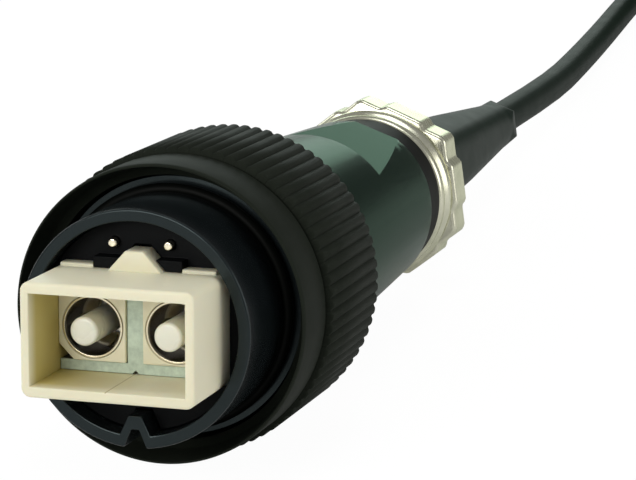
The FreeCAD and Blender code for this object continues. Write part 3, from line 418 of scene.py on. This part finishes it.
surfaceLooks = {
    "barrelBlack": {"light": (0.0056, 0.0076, 0.0086), "dark": (0.0036, 0.0050, 0.0060), "rough": 0.24,
                    "bump": 0.08, "specular": 0.34, "tint": (0.78, 0.97, 1.0)},
    "ringBlack": {"light": (0.0165, 0.0195, 0.0150), "dark": (0.0115, 0.0140, 0.0104), "rough": 0.58,
                  "bump": 0.3, "grain": 14.0, "specular": 0.03, "tint": (0.92, 1.0, 0.90)},
    "sealBlack": {"light": (0.0035, 0.0040, 0.0035), "dark": (0.002, 0.0025, 0.002), "rough": 0.5,
                  "specular": 0.06},
    "carrierBlack": {"light": (0.0024, 0.0031, 0.0040), "dark": (0.0013, 0.0017, 0.0022), "rough": 0.5,
                     "specular": 0.08},
    "contactGold": {"light": (0.97, 0.92, 0.78), "dark": (0.90, 0.82, 0.62), "rough": 0.22, "metal": 1.0,
                    "turned": 20.0},
    # the shroud's inside amount paints shade and glow down its opening
    "shroudBeige": {"light": (0.81, 0.775, 0.60), "dark": (0.76, 0.72, 0.54), "rough": 0.42,
                    "mottle": 0.15, "bump": 0.06, "glow": 0.25, "specular": 0.3, "inside": 0.9},
    # the divider's deep span paints shade into its gaps
    "dividerZinc": {"light": (0.66, 0.78, 0.64), "dark": (0.42, 0.51, 0.42), "rough": 0.5, "metal": 0.1,
                    "mottle": 1.6, "contrast": 2.2, "bump": 0.35,
                    "deep": (0.25, 100.0, (0.03, 0.028, 0.018))},
    "cellCream": {"light": (0.80, 0.76, 0.58), "dark": (0.72, 0.67, 0.48), "rough": 0.42, "mottle": 0.2,
                  "glow": 0.2},
    # the sleeves' deep span paints shade into their bores
    "sleeveMetal": {"light": (0.90, 0.84, 0.66), "dark": (0.62, 0.54, 0.36), "rough": 0.24, "metal": 1.0,
                    "turned": 16.0, "deep": (0.15, 4.3, (0.07, 0.055, 0.035))},
    "ferruleWhite": {"light": (0.84, 0.84, 0.76), "dark": (0.80, 0.79, 0.69), "rough": 0.28, "glow": 0.3,
                     "bump": 0.02},
    "holderSteel": {"light": (0.62, 0.62, 0.6), "dark": (0.48, 0.48, 0.47), "rough": 0.3, "metal": 1.0,
                    "turned": 12.0},
    "springSteel": {"light": (0.58, 0.58, 0.57), "dark": (0.42, 0.42, 0.42), "rough": 0.28, "metal": 1.0},
    "fibreBuffer": {"light": (0.86, 0.83, 0.68), "dark": (0.8, 0.76, 0.6), "rough": 0.35},
    "conductorRed": {"light": (0.42, 0.04, 0.03), "dark": (0.33, 0.03, 0.02), "rough": 0.35},
    "bodyGreen": {"light": (0.024, 0.030, 0.026), "dark": (0.017, 0.022, 0.019), "rough": 0.22,
                  "metal": 1.0, "turned": 9.0, "patch": 0.04, "bump": 0.03, "tint": (0.48, 0.545, 0.505)},
    "nutNickel": {"light": (0.74, 0.73, 0.60), "dark": (0.50, 0.50, 0.38), "rough": 0.26, "metal": 1.0,
                  "turned": 6.0, "patch": 0.12, "bump": 0.08, "tint": (0.86, 0.88, 0.76)},
    "clampGrey": {"light": (0.08, 0.085, 0.09), "dark": (0.05, 0.055, 0.06), "rough": 0.5},
    "bootRubber": {"light": (0.0110, 0.0205, 0.0140), "dark": (0.0075, 0.0145, 0.0100), "rough": 0.36,
                   "bump": 0.06, "specular": 0.018, "tint": (0.78, 1.0, 0.86)},
    "cableJacket": {"light": (0.0120, 0.0200, 0.0145), "dark": (0.0085, 0.0145, 0.0105), "rough": 0.42,
                    "bump": 0.08, "specular": 0.018, "tint": (0.80, 1.0, 0.88)},
    "tieBlack": {"light": (0.012, 0.012, 0.012), "dark": (0.007, 0.007, 0.007), "rough": 0.55},
}
surfaces = {name: makeSurface(name, look) for name, look in surfaceLooks.items()}
print("materials made", len(surfaces))

nodeSurfaces = {
    "plug_barrel": "barrelBlack", "barrel_seal": "sealBlack", "body_seal": "sealBlack",
    "contact_carrier": "carrierBlack", "power_pin_left": "contactGold", "power_pin_right": "contactGold",
    "duplex_shroud": "shroudBeige", "cell_divider": "dividerZinc", "cell_housing_left": "cellCream",
    "cell_housing_right": "cellCream", "sleeve_left": "sleeveMetal", "sleeve_right": "sleeveMetal",
    "ferrule_left": "ferruleWhite", "ferrule_right": "ferruleWhite", "ferrule_holder_left": "holderSteel",
    "ferrule_holder_right": "holderSteel", "ferrule_spring_left": "springSteel",
    "ferrule_spring_right": "springSteel", "fibre_left": "fibreBuffer", "fibre_right": "fibreBuffer",
    "conductor_left": "conductorRed", "conductor_right": "conductorRed", "coupling_ring": "ringBlack",
    "ring_retainer": "springSteel", "rear_body": "bodyGreen", "crimp_sleeve": "holderSteel",
    "gland_seal": "sealBlack", "gland_clamp": "clampGrey", "gland_nut": "nutNickel",
    "strain_relief_boot": "bootRubber", "coil_tie_left": "tieBlack", "coil_tie_right": "tieBlack",
    "cable_end_cap": "sealBlack",
}
for nodeName, surfaceName in nodeSurfaces.items():
    node = frame["nodes"][nodeName]
    node.data.materials.clear()
    node.data.materials.append(surfaces[surfaceName])


def rideAs(piece, surfaceName, body, slotName, *nodeNames):
    piece.data.materials.clear()
    piece.data.materials.append(surfaces[surfaceName])
    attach(piece, body)
    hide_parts(*nodeNames)


def tipDown(piece):
    # from the plug's own axes to the way it lies
    pickOnly(piece)
    piece.rotation_euler = (-plugTilt, 0, 0)
    bpy.ops.object.transform_apply(location=True, rotation=True, scale=True)


def applyModifier(piece, kind, **settings):
    modifier = piece.modifiers.new(kind.lower(), kind)
    for label, value in settings.items():
        setattr(modifier, label, value)
    bpy.context.view_layer.objects.active = piece
    bpy.ops.object.modifier_apply(modifier=modifier.name)


def softenEdges(piece, width, segments=2, sharperThan=40):
    applyModifier(piece, "BEVEL", limit_method="ANGLE", angle_limit=math.radians(sharperThan),
                  width=width * mm, segments=segments, use_clamp_overlap=True)


def shadeSmooth(piece, angle):
    pickOnly(piece)
    bpy.ops.object.shade_smooth_by_angle(angle=math.radians(angle))


def copyNode(nodeName, name, flatBelow=None):
    # a copy of a plain solid, with its loose triangles merged, and joined to flat faces below an angle
    piece = bpy.data.objects.new(name, frame["nodes"][nodeName].data.copy())
    bpy.context.scene.collection.objects.link(piece)
    pickOnly(piece)
    bpy.ops.mesh.customdata_custom_splitnormals_clear()
    bpy.ops.object.mode_set(mode="EDIT")
    bpy.ops.mesh.select_all(action="SELECT")
    bpy.ops.mesh.remove_doubles(threshold=0.0005 * mm)
    if flatBelow:
        bpy.ops.mesh.dissolve_limited(angle_limit=math.radians(flatBelow))
    bpy.ops.object.mode_set(mode="OBJECT")
    return piece


def dressNode(nodeName, name, surfaceName, slotName, edge):
    # a plain solid's copy with its sharp edges softened
    piece = copyNode(nodeName, name, flatBelow=0.3)
    softenEdges(piece, edge)
    shadeSmooth(piece, 22)
    applyModifier(piece, "WEIGHTED_NORMAL", keep_sharp=True)
    rideAs(piece, surfaceName, frame["nodes"][nodeName]["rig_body"], slotName, nodeName)


def addBox(name, across, along, up):
    # a box between two places on each axis, in millimetres
    spans = (across, along, up)
    deselectAll()
    bpy.ops.mesh.primitive_cube_add(
        size=1, location=Vector([(low + high) / 2 for low, high in spans]) * mm,
        scale=Vector([high - low for low, high in spans]) * mm)
    box = bpy.context.object
    box.name = name
    bpy.ops.object.transform_apply(location=True, rotation=True, scale=True)
    return box


def turnPiece(name, profile, sides, centreX=0.0):
    # a loop is extruded along the (radius, station) pairs and scaled at each
    deselectAll()
    radius, station = profile[0]
    bpy.ops.mesh.primitive_circle_add(
        vertices=sides, radius=radius * mm, location=(centreX * mm, station * mm, 0),
        rotation=(math.pi / 2, 0, 0))
    piece = bpy.context.object
    piece.name = name
    bpy.ops.object.transform_apply(location=True, rotation=True, scale=True)
    bpy.ops.object.mode_set(mode="EDIT")
    bpy.ops.mesh.select_all(action="SELECT")
    for (radius, station), (nextRadius, nextStation) in zip(profile, profile[1:]):
        bpy.ops.mesh.extrude_edges_move(
            TRANSFORM_OT_translate={"value": (0, (nextStation - station) * mm, 0)})
        grow = nextRadius / radius
        bpy.ops.transform.resize(
            value=(grow, 1, grow), center_override=(centreX * mm, nextStation * mm, 0))
    bpy.ops.mesh.select_all(action="SELECT")
    bpy.ops.mesh.remove_doubles(threshold=0.0001 * mm)
    bpy.ops.mesh.normals_make_consistent(inside=False)
    bpy.ops.object.mode_set(mode="OBJECT")
    return piece


def selectPoints(piece, picks):
    # select the vertices for which picks(place in millimetres) holds
    bpy.ops.object.mode_set(mode="EDIT")
    bpy.ops.mesh.select_mode(type="VERT")
    bpy.ops.mesh.select_all(action="DESELECT")
    bpy.ops.object.mode_set(mode="OBJECT")
    for vertex in piece.data.vertices:
        vertex.select = bool(picks(vertex.co / mm))
    bpy.ops.object.mode_set(mode="EDIT")


def makeCouplingRing():
    ring = {
        "front": 5.94, "noseRear": 11.9, "knurlFront": 12.3, "rear": 26.3, "mouth": 12.9, "lip": 0.12,
        "mouthStep": 12.5, "mouthDepth": 8.94, "crest": 11.75, "crestFront": 9.34, "nose": 13.2,
        "groove": 13.0, "knurl": 13.75, "depth": 0.24, "edge": 0.12, "shoulder": 10.6,
        "shoulderFront": 13.7, "shoulderRear": 16.0, "bore": 11.9, "boreEase": 0.1,
        "mouthEase": 0.05, "noseEase": (0.05, 0.12), "grooveEase": (0.04, 0.02), "stepEase": (0.06, 0.03, 0.08),
        "noseRound": ((0.14, 0.0), (0.06, 0.1), (0.02, 0.5), (0.0, 1.3)),  # each drop, and how far back
        "gripRound": ((0.24, 0.0), (0.06, 0.09), (0.0, 0.156)),
        "ribs": 78, "columns": 8, "ribShape": {0: 0.0, 1: 0.42, 2: 0.84, 3: 0.97}, "margin": 0.1,
    }
    sides = ring["ribs"] * ring["columns"]
    floor = ring["knurl"] - ring["depth"]
    front, rear, grip = ring["front"], ring["rear"], ring["gripRound"]
    noseDrop, noseBack = ring["noseEase"]
    grooveStart, grooveEnd = ring["grooveEase"]
    stepDrop, stepBack, stepAhead = ring["stepEase"]
    profile = [(ring["mouth"], front + ring["lip"]), (ring["mouth"] + ring["mouthEase"], front)]
    profile += [(ring["nose"] - drop, front + along) for drop, along in ring["noseRound"]]
    # the nose ends in a fine groove, then comes the ribbed grip
    profile += [(ring["nose"], ring["noseRear"] - noseBack), (ring["nose"] - noseDrop, ring["noseRear"]),
                (ring["groove"], ring["noseRear"] + grooveStart),
                (ring["groove"], ring["knurlFront"] - grooveEnd)]
    profile += [(ring["knurl"] - drop, ring["knurlFront"] + along) for drop, along in grip]
    profile += [(ring["knurl"] - drop, rear - along) for drop, along in reversed(grip)]
    # back through the bore, over the shoulder and out of the stepped mouth
    profile += [(ring["bore"] + ring["boreEase"], rear), (ring["bore"], rear - ring["boreEase"]),
                (ring["bore"], ring["shoulderRear"]), (ring["shoulder"], ring["shoulderRear"]),
                (ring["shoulder"], ring["shoulderFront"]), (ring["crest"], ring["shoulderFront"]),
                (ring["crest"], ring["crestFront"]),
                (ring["mouthStep"] - stepDrop, ring["mouthDepth"] + stepBack),
                (ring["mouthStep"], ring["mouthDepth"] - stepAhead), (ring["mouth"], front + ring["lip"])]
    piece = turnPiece("couplingRing", profile, sides)
    low, high = ring["knurlFront"] + ring["edge"] / 2, ring["rear"] - ring["edge"] / 2

    def columnOf(point):
        turned = math.degrees(math.atan2(point.z, point.x)) + 90
        return (round(turned / 360 * sides) + ring["columns"] // 2) % ring["columns"]

    for offset, height in ring["ribShape"].items():
        columns = {offset, (ring["columns"] - offset) % ring["columns"]}
        selectPoints(piece, lambda point: (
            low < point.y < high and math.hypot(point.x, point.z) > floor + ring["margin"]
            and columnOf(point) in columns))
        shrink = 1 - ring["depth"] * (1 - height) / ring["knurl"]
        bpy.ops.transform.resize(value=(shrink, 1, shrink), center_override=(0, 0, 0))
        bpy.ops.object.mode_set(mode="OBJECT")
    tipDown(piece)
    shadeSmooth(piece, 50)
    rideAs(piece, "ringBlack", "ring", "ring_black", "coupling_ring")


def makeShroud():
    shroud = {
        "halfWidth": 7.65, "halfHeight": 4.9, "openWidth": 6.86, "openHeight": 3.95, "front": -6.5,
        "rear": 14.4, "corner": 0.8, "rim": 0.36, "lip": 0.10, "cutBeyond": 1.0, "near": 0.01,
    }
    width, height, near = shroud["halfWidth"], shroud["halfHeight"], shroud["near"]
    openWidth, openHeight = shroud["openWidth"], shroud["openHeight"]
    piece = addBox("duplexShroud", (-width, width), (shroud["front"], shroud["rear"]), (-height, height))
    bpy.ops.object.mode_set(mode="EDIT")
    bpy.ops.mesh.select_mode(type="EDGE")
    bpy.ops.mesh.select_all(action="DESELECT")
    bpy.ops.object.mode_set(mode="OBJECT")
    for edge in piece.data.edges:
        start, end = (piece.data.vertices[index].co for index in edge.vertices)
        edge.select = abs(end.y - start.y) > mm
    bpy.ops.object.mode_set(mode="EDIT")
    bpy.ops.mesh.bevel(offset=shroud["corner"] * mm, segments=6, affect="EDGES")
    bpy.ops.object.mode_set(mode="OBJECT")
    # the opening is a box cut right through
    cutAlong = (shroud["front"] - shroud["cutBeyond"], shroud["rear"] + shroud["cutBeyond"])
    cutter = addBox("openingCut", (-openWidth, openWidth), cutAlong, (-openHeight, openHeight))
    applyModifier(piece, "BOOLEAN", operation="DIFFERENCE", object=cutter, solver="EXACT")
    bpy.data.objects.remove(cutter)
    # rounded rim outside, a finer lip inside
    weights = piece.data.attributes.new("bevel_weight_edge", "FLOAT", "EDGE")
    for edge in piece.data.edges:
        ends = [piece.data.vertices[index].co / mm for index in edge.vertices]
        if any(abs(point.y - shroud["front"]) >= near for point in ends):
            continue
        inner = [abs(point.x) < openWidth + near and abs(point.z) < openHeight + near for point in ends]
        if all(inner):
            weights.data[edge.index].value = shroud["lip"] / shroud["rim"]
        elif not any(inner):
            weights.data[edge.index].value = 1.0
    applyModifier(piece, "BEVEL", limit_method="WEIGHT", width=shroud["rim"] * mm, segments=5)
    tipDown(piece)
    return piece


def makeShroudKey(shroudPiece):
    key = {
        "front": 0.1, "rear": 2.6, "base": 2.45, "top": 0.8, "height": 1.78, "seat": 4.85, "ease": 0.14,
        "shroudTop": 4.9, "shoulders": (3.95, 7.0), "shoulderSpan": (0.9, 2.3), "shoulderSeat": 4.45,
        "shoulderTop": 5.24, "rib": 0.95, "ribBottom": -5.8, "ribSpan": (0.0, 2.25),
    }
    inner, outer = key["shoulders"]
    shoulderUp = (key["shoulderSeat"], key["shoulderTop"])
    keyUp = (key["seat"], key["shroudTop"] + key["height"])
    blocks = [
        addBox("key", (-key["base"], key["base"]), (key["front"], key["rear"]), keyUp),
        addBox("leftShoulder", (-outer, -inner), key["shoulderSpan"], shoulderUp),
        addBox("rightShoulder", (inner, outer), key["shoulderSpan"], shoulderUp),
        addBox("rib", (-key["rib"], key["rib"]), key["ribSpan"], (key["ribBottom"], -key["seat"])),
    ]
    # the key narrows towards its top
    pickOnly(blocks[0])
    selectPoints(blocks[0], lambda point: point.z > key["shroudTop"] + 0.5 * key["height"])
    bpy.ops.transform.resize(value=(key["top"] / key["base"], 1, 1), center_override=(0, 0, 0))
    bpy.ops.object.mode_set(mode="OBJECT")
    for block in blocks:
        softenEdges(block, key["ease"], 3, 30)
        tipDown(block)
    deselectAll()
    for piece in (shroudPiece, *blocks):
        piece.select_set(True)
    bpy.context.view_layer.objects.active = shroudPiece
    bpy.ops.object.join()
    shadeSmooth(shroudPiece, 40)
    rideAs(shroudPiece, "shroudBeige", "plug", "shroud_beige", "duplex_shroud")


def makeNut():
    nut = {
        "front": 67.9, "rim": 8.1, "beads": (8.65, 8.95), "beadWidth": 1.45, "beadDrop": 0.5, "beadGap": 0.1,
        "waist": 8.5, "waistRear": 8.55, "hexFront": 71.0, "hexRear": 75.0, "apothem": 8.75, "corner": 9.95,
        "turn": 38.0, "pad": 0.5, "padHalf": 2.3, "padEase": 0.9, "bore": 7.1, "sides": 180, "edge": 0.45,
        "easing": ((-1, 0), (-0.45, 0.15), (-0.12, 0.5), (0, 1)), "waistEase": 0.02, "margin": 0.1,
        "near": 0.001,
    }
    profile = [(nut["bore"], nut["front"]), (nut["rim"], nut["front"])]
    centre = nut["front"] + nut["beadWidth"] / 2
    for radius in nut["beads"]:
        for share in (-0.9, -0.6, -0.25, 0.25, 0.6, 0.9):
            drop = nut["beadDrop"] * (1 - math.sqrt(1 - share * share))
            profile.append((radius - drop, centre + share * nut["beadWidth"] / 2))
        centre += nut["beadWidth"] + nut["beadGap"]
    profile += [(nut["waist"], nut["hexFront"] - nut["waistEase"]), (nut["waistRear"], nut["hexFront"])]
    # both edges of the six-sided band are eased alike
    edge = nut["edge"]
    easing = [(edge * inset, edge * along) for inset, along in nut["easing"]]
    profile += [(nut["corner"] + inset, nut["hexFront"] + along) for inset, along in easing]
    profile += [(nut["corner"] + inset, nut["hexRear"] - along) for inset, along in reversed(easing)]
    profile += [(nut["bore"], nut["hexRear"]), (nut["bore"], nut["front"])]
    piece = turnPiece("glandNut", profile, nut["sides"])
    perSide = nut["sides"] // 6

    def outlineAt(degrees):
        # a six-sided outline with rounded corners and a raised pad on each side
        offset = math.radians((degrees - nut["turn"]) % 60 - 30)
        radius = min(nut["apothem"] / math.cos(offset), nut["corner"])
        across = abs(nut["apothem"] * math.tan(offset))
        rise = min(1.0, max(0.0, (nut["padHalf"] + nut["padEase"] / 2 - across) / nut["padEase"]))
        return radius + nut["pad"] * rise * rise * (3 - 2 * rise)

    def columnOf(point):
        turned = math.degrees(math.atan2(point.z, point.x))
        return round((turned - nut["turn"]) / 360 * nut["sides"]) % perSide

    for column in range(perSide // 2 + 1):
        twins = {column, (perSide - column) % perSide}
        selectPoints(piece, lambda point: (
            point.y > nut["hexFront"] - nut["near"] and columnOf(point) in twins
            and math.hypot(point.x, point.z) > nut["corner"] - edge - nut["margin"]))
        shrink = outlineAt(nut["turn"] + column * 360 / nut["sides"]) / nut["corner"]
        bpy.ops.transform.resize(value=(shrink, 1, shrink), center_override=(0, 0, 0))
        bpy.ops.object.mode_set(mode="OBJECT")
    tipDown(piece)
    shadeSmooth(piece, 45)
    applyModifier(piece, "WEIGHTED_NORMAL", keep_sharp=True)
    rideAs(piece, "nutNickel", "plug", "nut_nickel", "gland_nut")


def makeFerrules():
    ferrule = {"radius": 1.25, "tip": -2.06, "step": 4.24, "tail": 1.05, "rear": 8.44, "round": 0.3,
               "offset": 3.75, "pole": 0.02, "stepEase": 0.08}
    pole, radius, ease = ferrule["pole"], ferrule["radius"], ferrule["stepEase"]
    for side, word in ((-1, "left"), (1, "right")):
        profile = [(pole, ferrule["tip"]), (radius - ferrule["round"], ferrule["tip"])]
        for step in (25, 50, 75, 90):
            angle = math.radians(step)
            profile.append((radius - ferrule["round"] * (1 - math.sin(angle)),
                            ferrule["tip"] + ferrule["round"] * (1 - math.cos(angle))))
        profile += [(radius, ferrule["step"] - ease), (radius - ease, ferrule["step"]),
                    (ferrule["tail"], ferrule["step"]), (ferrule["tail"], ferrule["rear"]),
                    (pole, ferrule["rear"]), (pole, ferrule["tip"])]
        piece = turnPiece(word + "Ferrule", profile, 64, side * ferrule["offset"])
        tipDown(piece)
        shadeSmooth(piece, 40)
        rideAs(piece, "ferruleWhite", word + "_ferrule", "ferrule_white", "ferrule_" + word)


def makeSprings():
    # each spring is a smoothly shaded copy on its own mesh, riding on the plug
    for word in ("left", "right"):
        nodeName = "ferrule_spring_" + word
        piece = copyNode(nodeName, word + "Spring")
        shadeSmooth(piece, 60)
        rideAs(piece, "springSteel", "plug", "spring_steel", nodeName)
        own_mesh(piece)


def makeBoot():
    boot = {
        "turn": 38.0, "lean": (0.27, -0.40), "leanFrom": 61.0, "leanSpan": 85.0,
        "stations": ((75.05, 6.7), (78.0, 6.35), (88.0, 5.75), (100.0, 5.0), (111.0, 4.15), (120.5, 3.42),
                     (122.0, 3.35), (124.2, 3.05), (124.35, 2.9)),
        "hole": 2.15, "endOpening": 1.1, "ease": 1.5, "easedUntil": 122.1, "leastWall": 0.5,
        "leastLength": 0.05,
    }
    firstStation, firstCorner = boot["stations"][0]
    lastStation, lastCorner = boot["stations"][-1]
    deselectAll()
    bpy.ops.mesh.primitive_circle_add(vertices=6, radius=firstCorner * mm, location=(0, 0, 0))
    piece = bpy.context.object
    piece.name = "strainReliefBoot"
    # the six corners are set to the nut's turn
    for index, vertex in enumerate(piece.data.vertices):
        angle = math.radians(boot["turn"] + 60 * index)
        vertex.co = Vector((math.cos(angle) * firstCorner, firstStation, math.sin(angle) * firstCorner)) * mm
    bpy.ops.object.mode_set(mode="EDIT")
    bpy.ops.mesh.select_all(action="SELECT")
    bpy.ops.mesh.normals_make_consistent(inside=False)

    def lineAt(station):
        share = (station - boot["leanFrom"]) / boot["leanSpan"]
        return Vector((boot["lean"][0] * share, station, boot["lean"][1] * share))

    bpy.ops.transform.translate(value=(lineAt(firstStation) - Vector((0, firstStation, 0))) * mm)
    for (station, corner), (nextStation, nextCorner) in zip(boot["stations"], boot["stations"][1:]):
        step = (lineAt(nextStation) - lineAt(station)) * mm
        bpy.ops.mesh.extrude_edges_move(TRANSFORM_OT_translate={"value": step})
        grow = nextCorner / corner
        bpy.ops.transform.resize(value=(grow, 1, grow), center_override=lineAt(nextStation) * mm)
    # in to the cable's hole, and back along it to the first station
    grow = boot["hole"] * boot["endOpening"] / lastCorner
    bpy.ops.mesh.extrude_edges_move(TRANSFORM_OT_translate={"value": (0, 0, 0)})
    bpy.ops.transform.resize(value=(grow, 1, grow), center_override=lineAt(lastStation) * mm)
    back = (lineAt(firstStation) - lineAt(lastStation)) * mm
    bpy.ops.mesh.extrude_edges_move(TRANSFORM_OT_translate={"value": back})
    bpy.ops.mesh.select_mode(type="EDGE")
    bpy.ops.mesh.select_all(action="DESELECT")
    bpy.ops.mesh.select_non_manifold()
    bpy.ops.mesh.bridge_edge_loops()
    bpy.ops.mesh.select_all(action="SELECT")
    bpy.ops.mesh.normals_make_consistent(inside=False)
    bpy.ops.mesh.select_all(action="DESELECT")
    bpy.ops.object.mode_set(mode="OBJECT")
    # the long outer edges are rounded as far as the collar at the end
    for edge in piece.data.edges:
        ends = [piece.data.vertices[index].co / mm for index in edge.vertices]
        outside = all(math.hypot(point.x, point.z) > boot["hole"] + boot["leastWall"] for point in ends)
        lengthwise = abs(ends[1].y - ends[0].y) > boot["leastLength"]
        edge.select = outside and lengthwise and max(point.y for point in ends) < boot["easedUntil"]
    bpy.ops.object.mode_set(mode="EDIT")
    bpy.ops.mesh.bevel(offset=boot["ease"] * mm, segments=4, affect="EDGES", clamp_overlap=True)
    bpy.ops.object.mode_set(mode="OBJECT")
    tipDown(piece)
    shadeSmooth(piece, 40)
    rideAs(piece, "bootRubber", "plug", "boot_rubber", "strain_relief_boot")


makeCouplingRing()
makeShroudKey(makeShroud())
makeFerrules()
makeSprings()
makeNut()
makeBoot()
print("ring, shroud, ferrules, nut and boot modelled")

dressed = {
    "plug_barrel": ("plugBarrel", "barrelBlack", "barrel_black", 0.12),
    "contact_carrier": ("contactCarrier", "carrierBlack", "carrier_black", 0.08),
    "power_pin_left": ("leftPin", "contactGold", "contact_metal", 0.06),
    "power_pin_right": ("rightPin", "contactGold", "contact_metal", 0.06),
    "cell_divider": ("cellDivider", "dividerZinc", "divider_metal", 0.05),
    "cell_housing_left": ("leftCell", "cellCream", "cell_cream", 0.1),
    "cell_housing_right": ("rightCell", "cellCream", "cell_cream", 0.1),
    "sleeve_left": ("leftSleeve", "sleeveMetal", "sleeve_metal", 0.03),
    "sleeve_right": ("rightSleeve", "sleeveMetal", "sleeve_metal", 0.03),
    "rear_body": ("rearBody", "bodyGreen", "body_green", 0.12),
    "gland_seal": ("glandSeal", "sealBlack", "seal_rubber", 0.15),
}
for nodeName, (pieceName, surfaceName, slotName, edge) in dressed.items():
    dressNode(nodeName, pieceName, surfaceName, slotName, edge)
print("other pieces dressed", len(dressed))


def makeLead():
    lead = {
        "diameter": 4.0, "floor": -15.705, "bandThickness": 0.4,
        "start": (0.0, 60.87, -4.69),
        "bends": ((0.27, 145.54, -11.63), (-2.4, 189.4, -13.705), (-4.7, 233.4, -13.705)),
        "hankCentre": (7.3, 292.0), "foldRadius": 12.0, "halfRun": 30.0, "layers": 5,
        "tailDrops": ((14.0, 0.0), (30.0, 0.9), (45.5, 0.9)), "length": 1.127,
    }
    radius, fold, half = lead["diameter"] / 2, lead["foldRadius"], lead["halfRun"]
    centreX, centreY = lead["hankCentre"]
    lowest = lead["floor"] + lead["bandThickness"] + radius
    # each turn goes back along one side, round the fold and forward along the other, then climbs a layer
    runStations = (-half, -half / 3, half / 3, half)
    foldAngles = [math.radians(angle) for angle in (150, 120, 90, 60, 30)]
    points = [lead["start"], *lead["bends"]]
    for layer in range(lead["layers"]):
        height = lowest + layer * lead["diameter"]
        points += [(centreX - fold, centreY + station, height) for station in runStations]
        points += [(centreX + fold * math.cos(angle), centreY + half + fold * math.sin(angle), height)
                   for angle in foldAngles]
        if layer == lead["layers"] - 1:
            break
        points += [(centreX + fold, centreY - station, height) for station in runStations]
        for step, angle in enumerate(reversed(foldAngles), start=1):
            climb = min(1.0, step / 3) * lead["diameter"]
            points.append((centreX + fold * math.cos(angle), centreY - half - fold * math.sin(angle),
                           height + climb))
    points.append((centreX + fold, centreY + half, height))
    points += [(centreX + fold, centreY + half - back, height + rise) for back, rise in lead["tailDrops"]]
    line = bpy.data.curves.new("lead", "CURVE")
    line.dimensions = "3D"
    spline = line.splines.new("NURBS")
    spline.points.add(len(points) - 1)
    for point, place in zip(spline.points, points):
        point.co = (*(Vector(place) * mm), 1)
    spline.order_u = 3
    spline.use_endpoint_u = True
    spline.resolution_u = 6
    # a round section, closed at its ends
    line.bevel_depth = radius * mm
    line.bevel_resolution = 5
    line.use_fill_caps = True
    cord = bpy.data.objects.new("lead", line)
    bpy.context.scene.collection.objects.link(cord)
    cord.data.materials.append(surfaces["cableJacket"])
    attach(cord, "plug")
    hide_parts("cable", "cable_coil", "cable_tail")


makeLead()
print("lead laid")
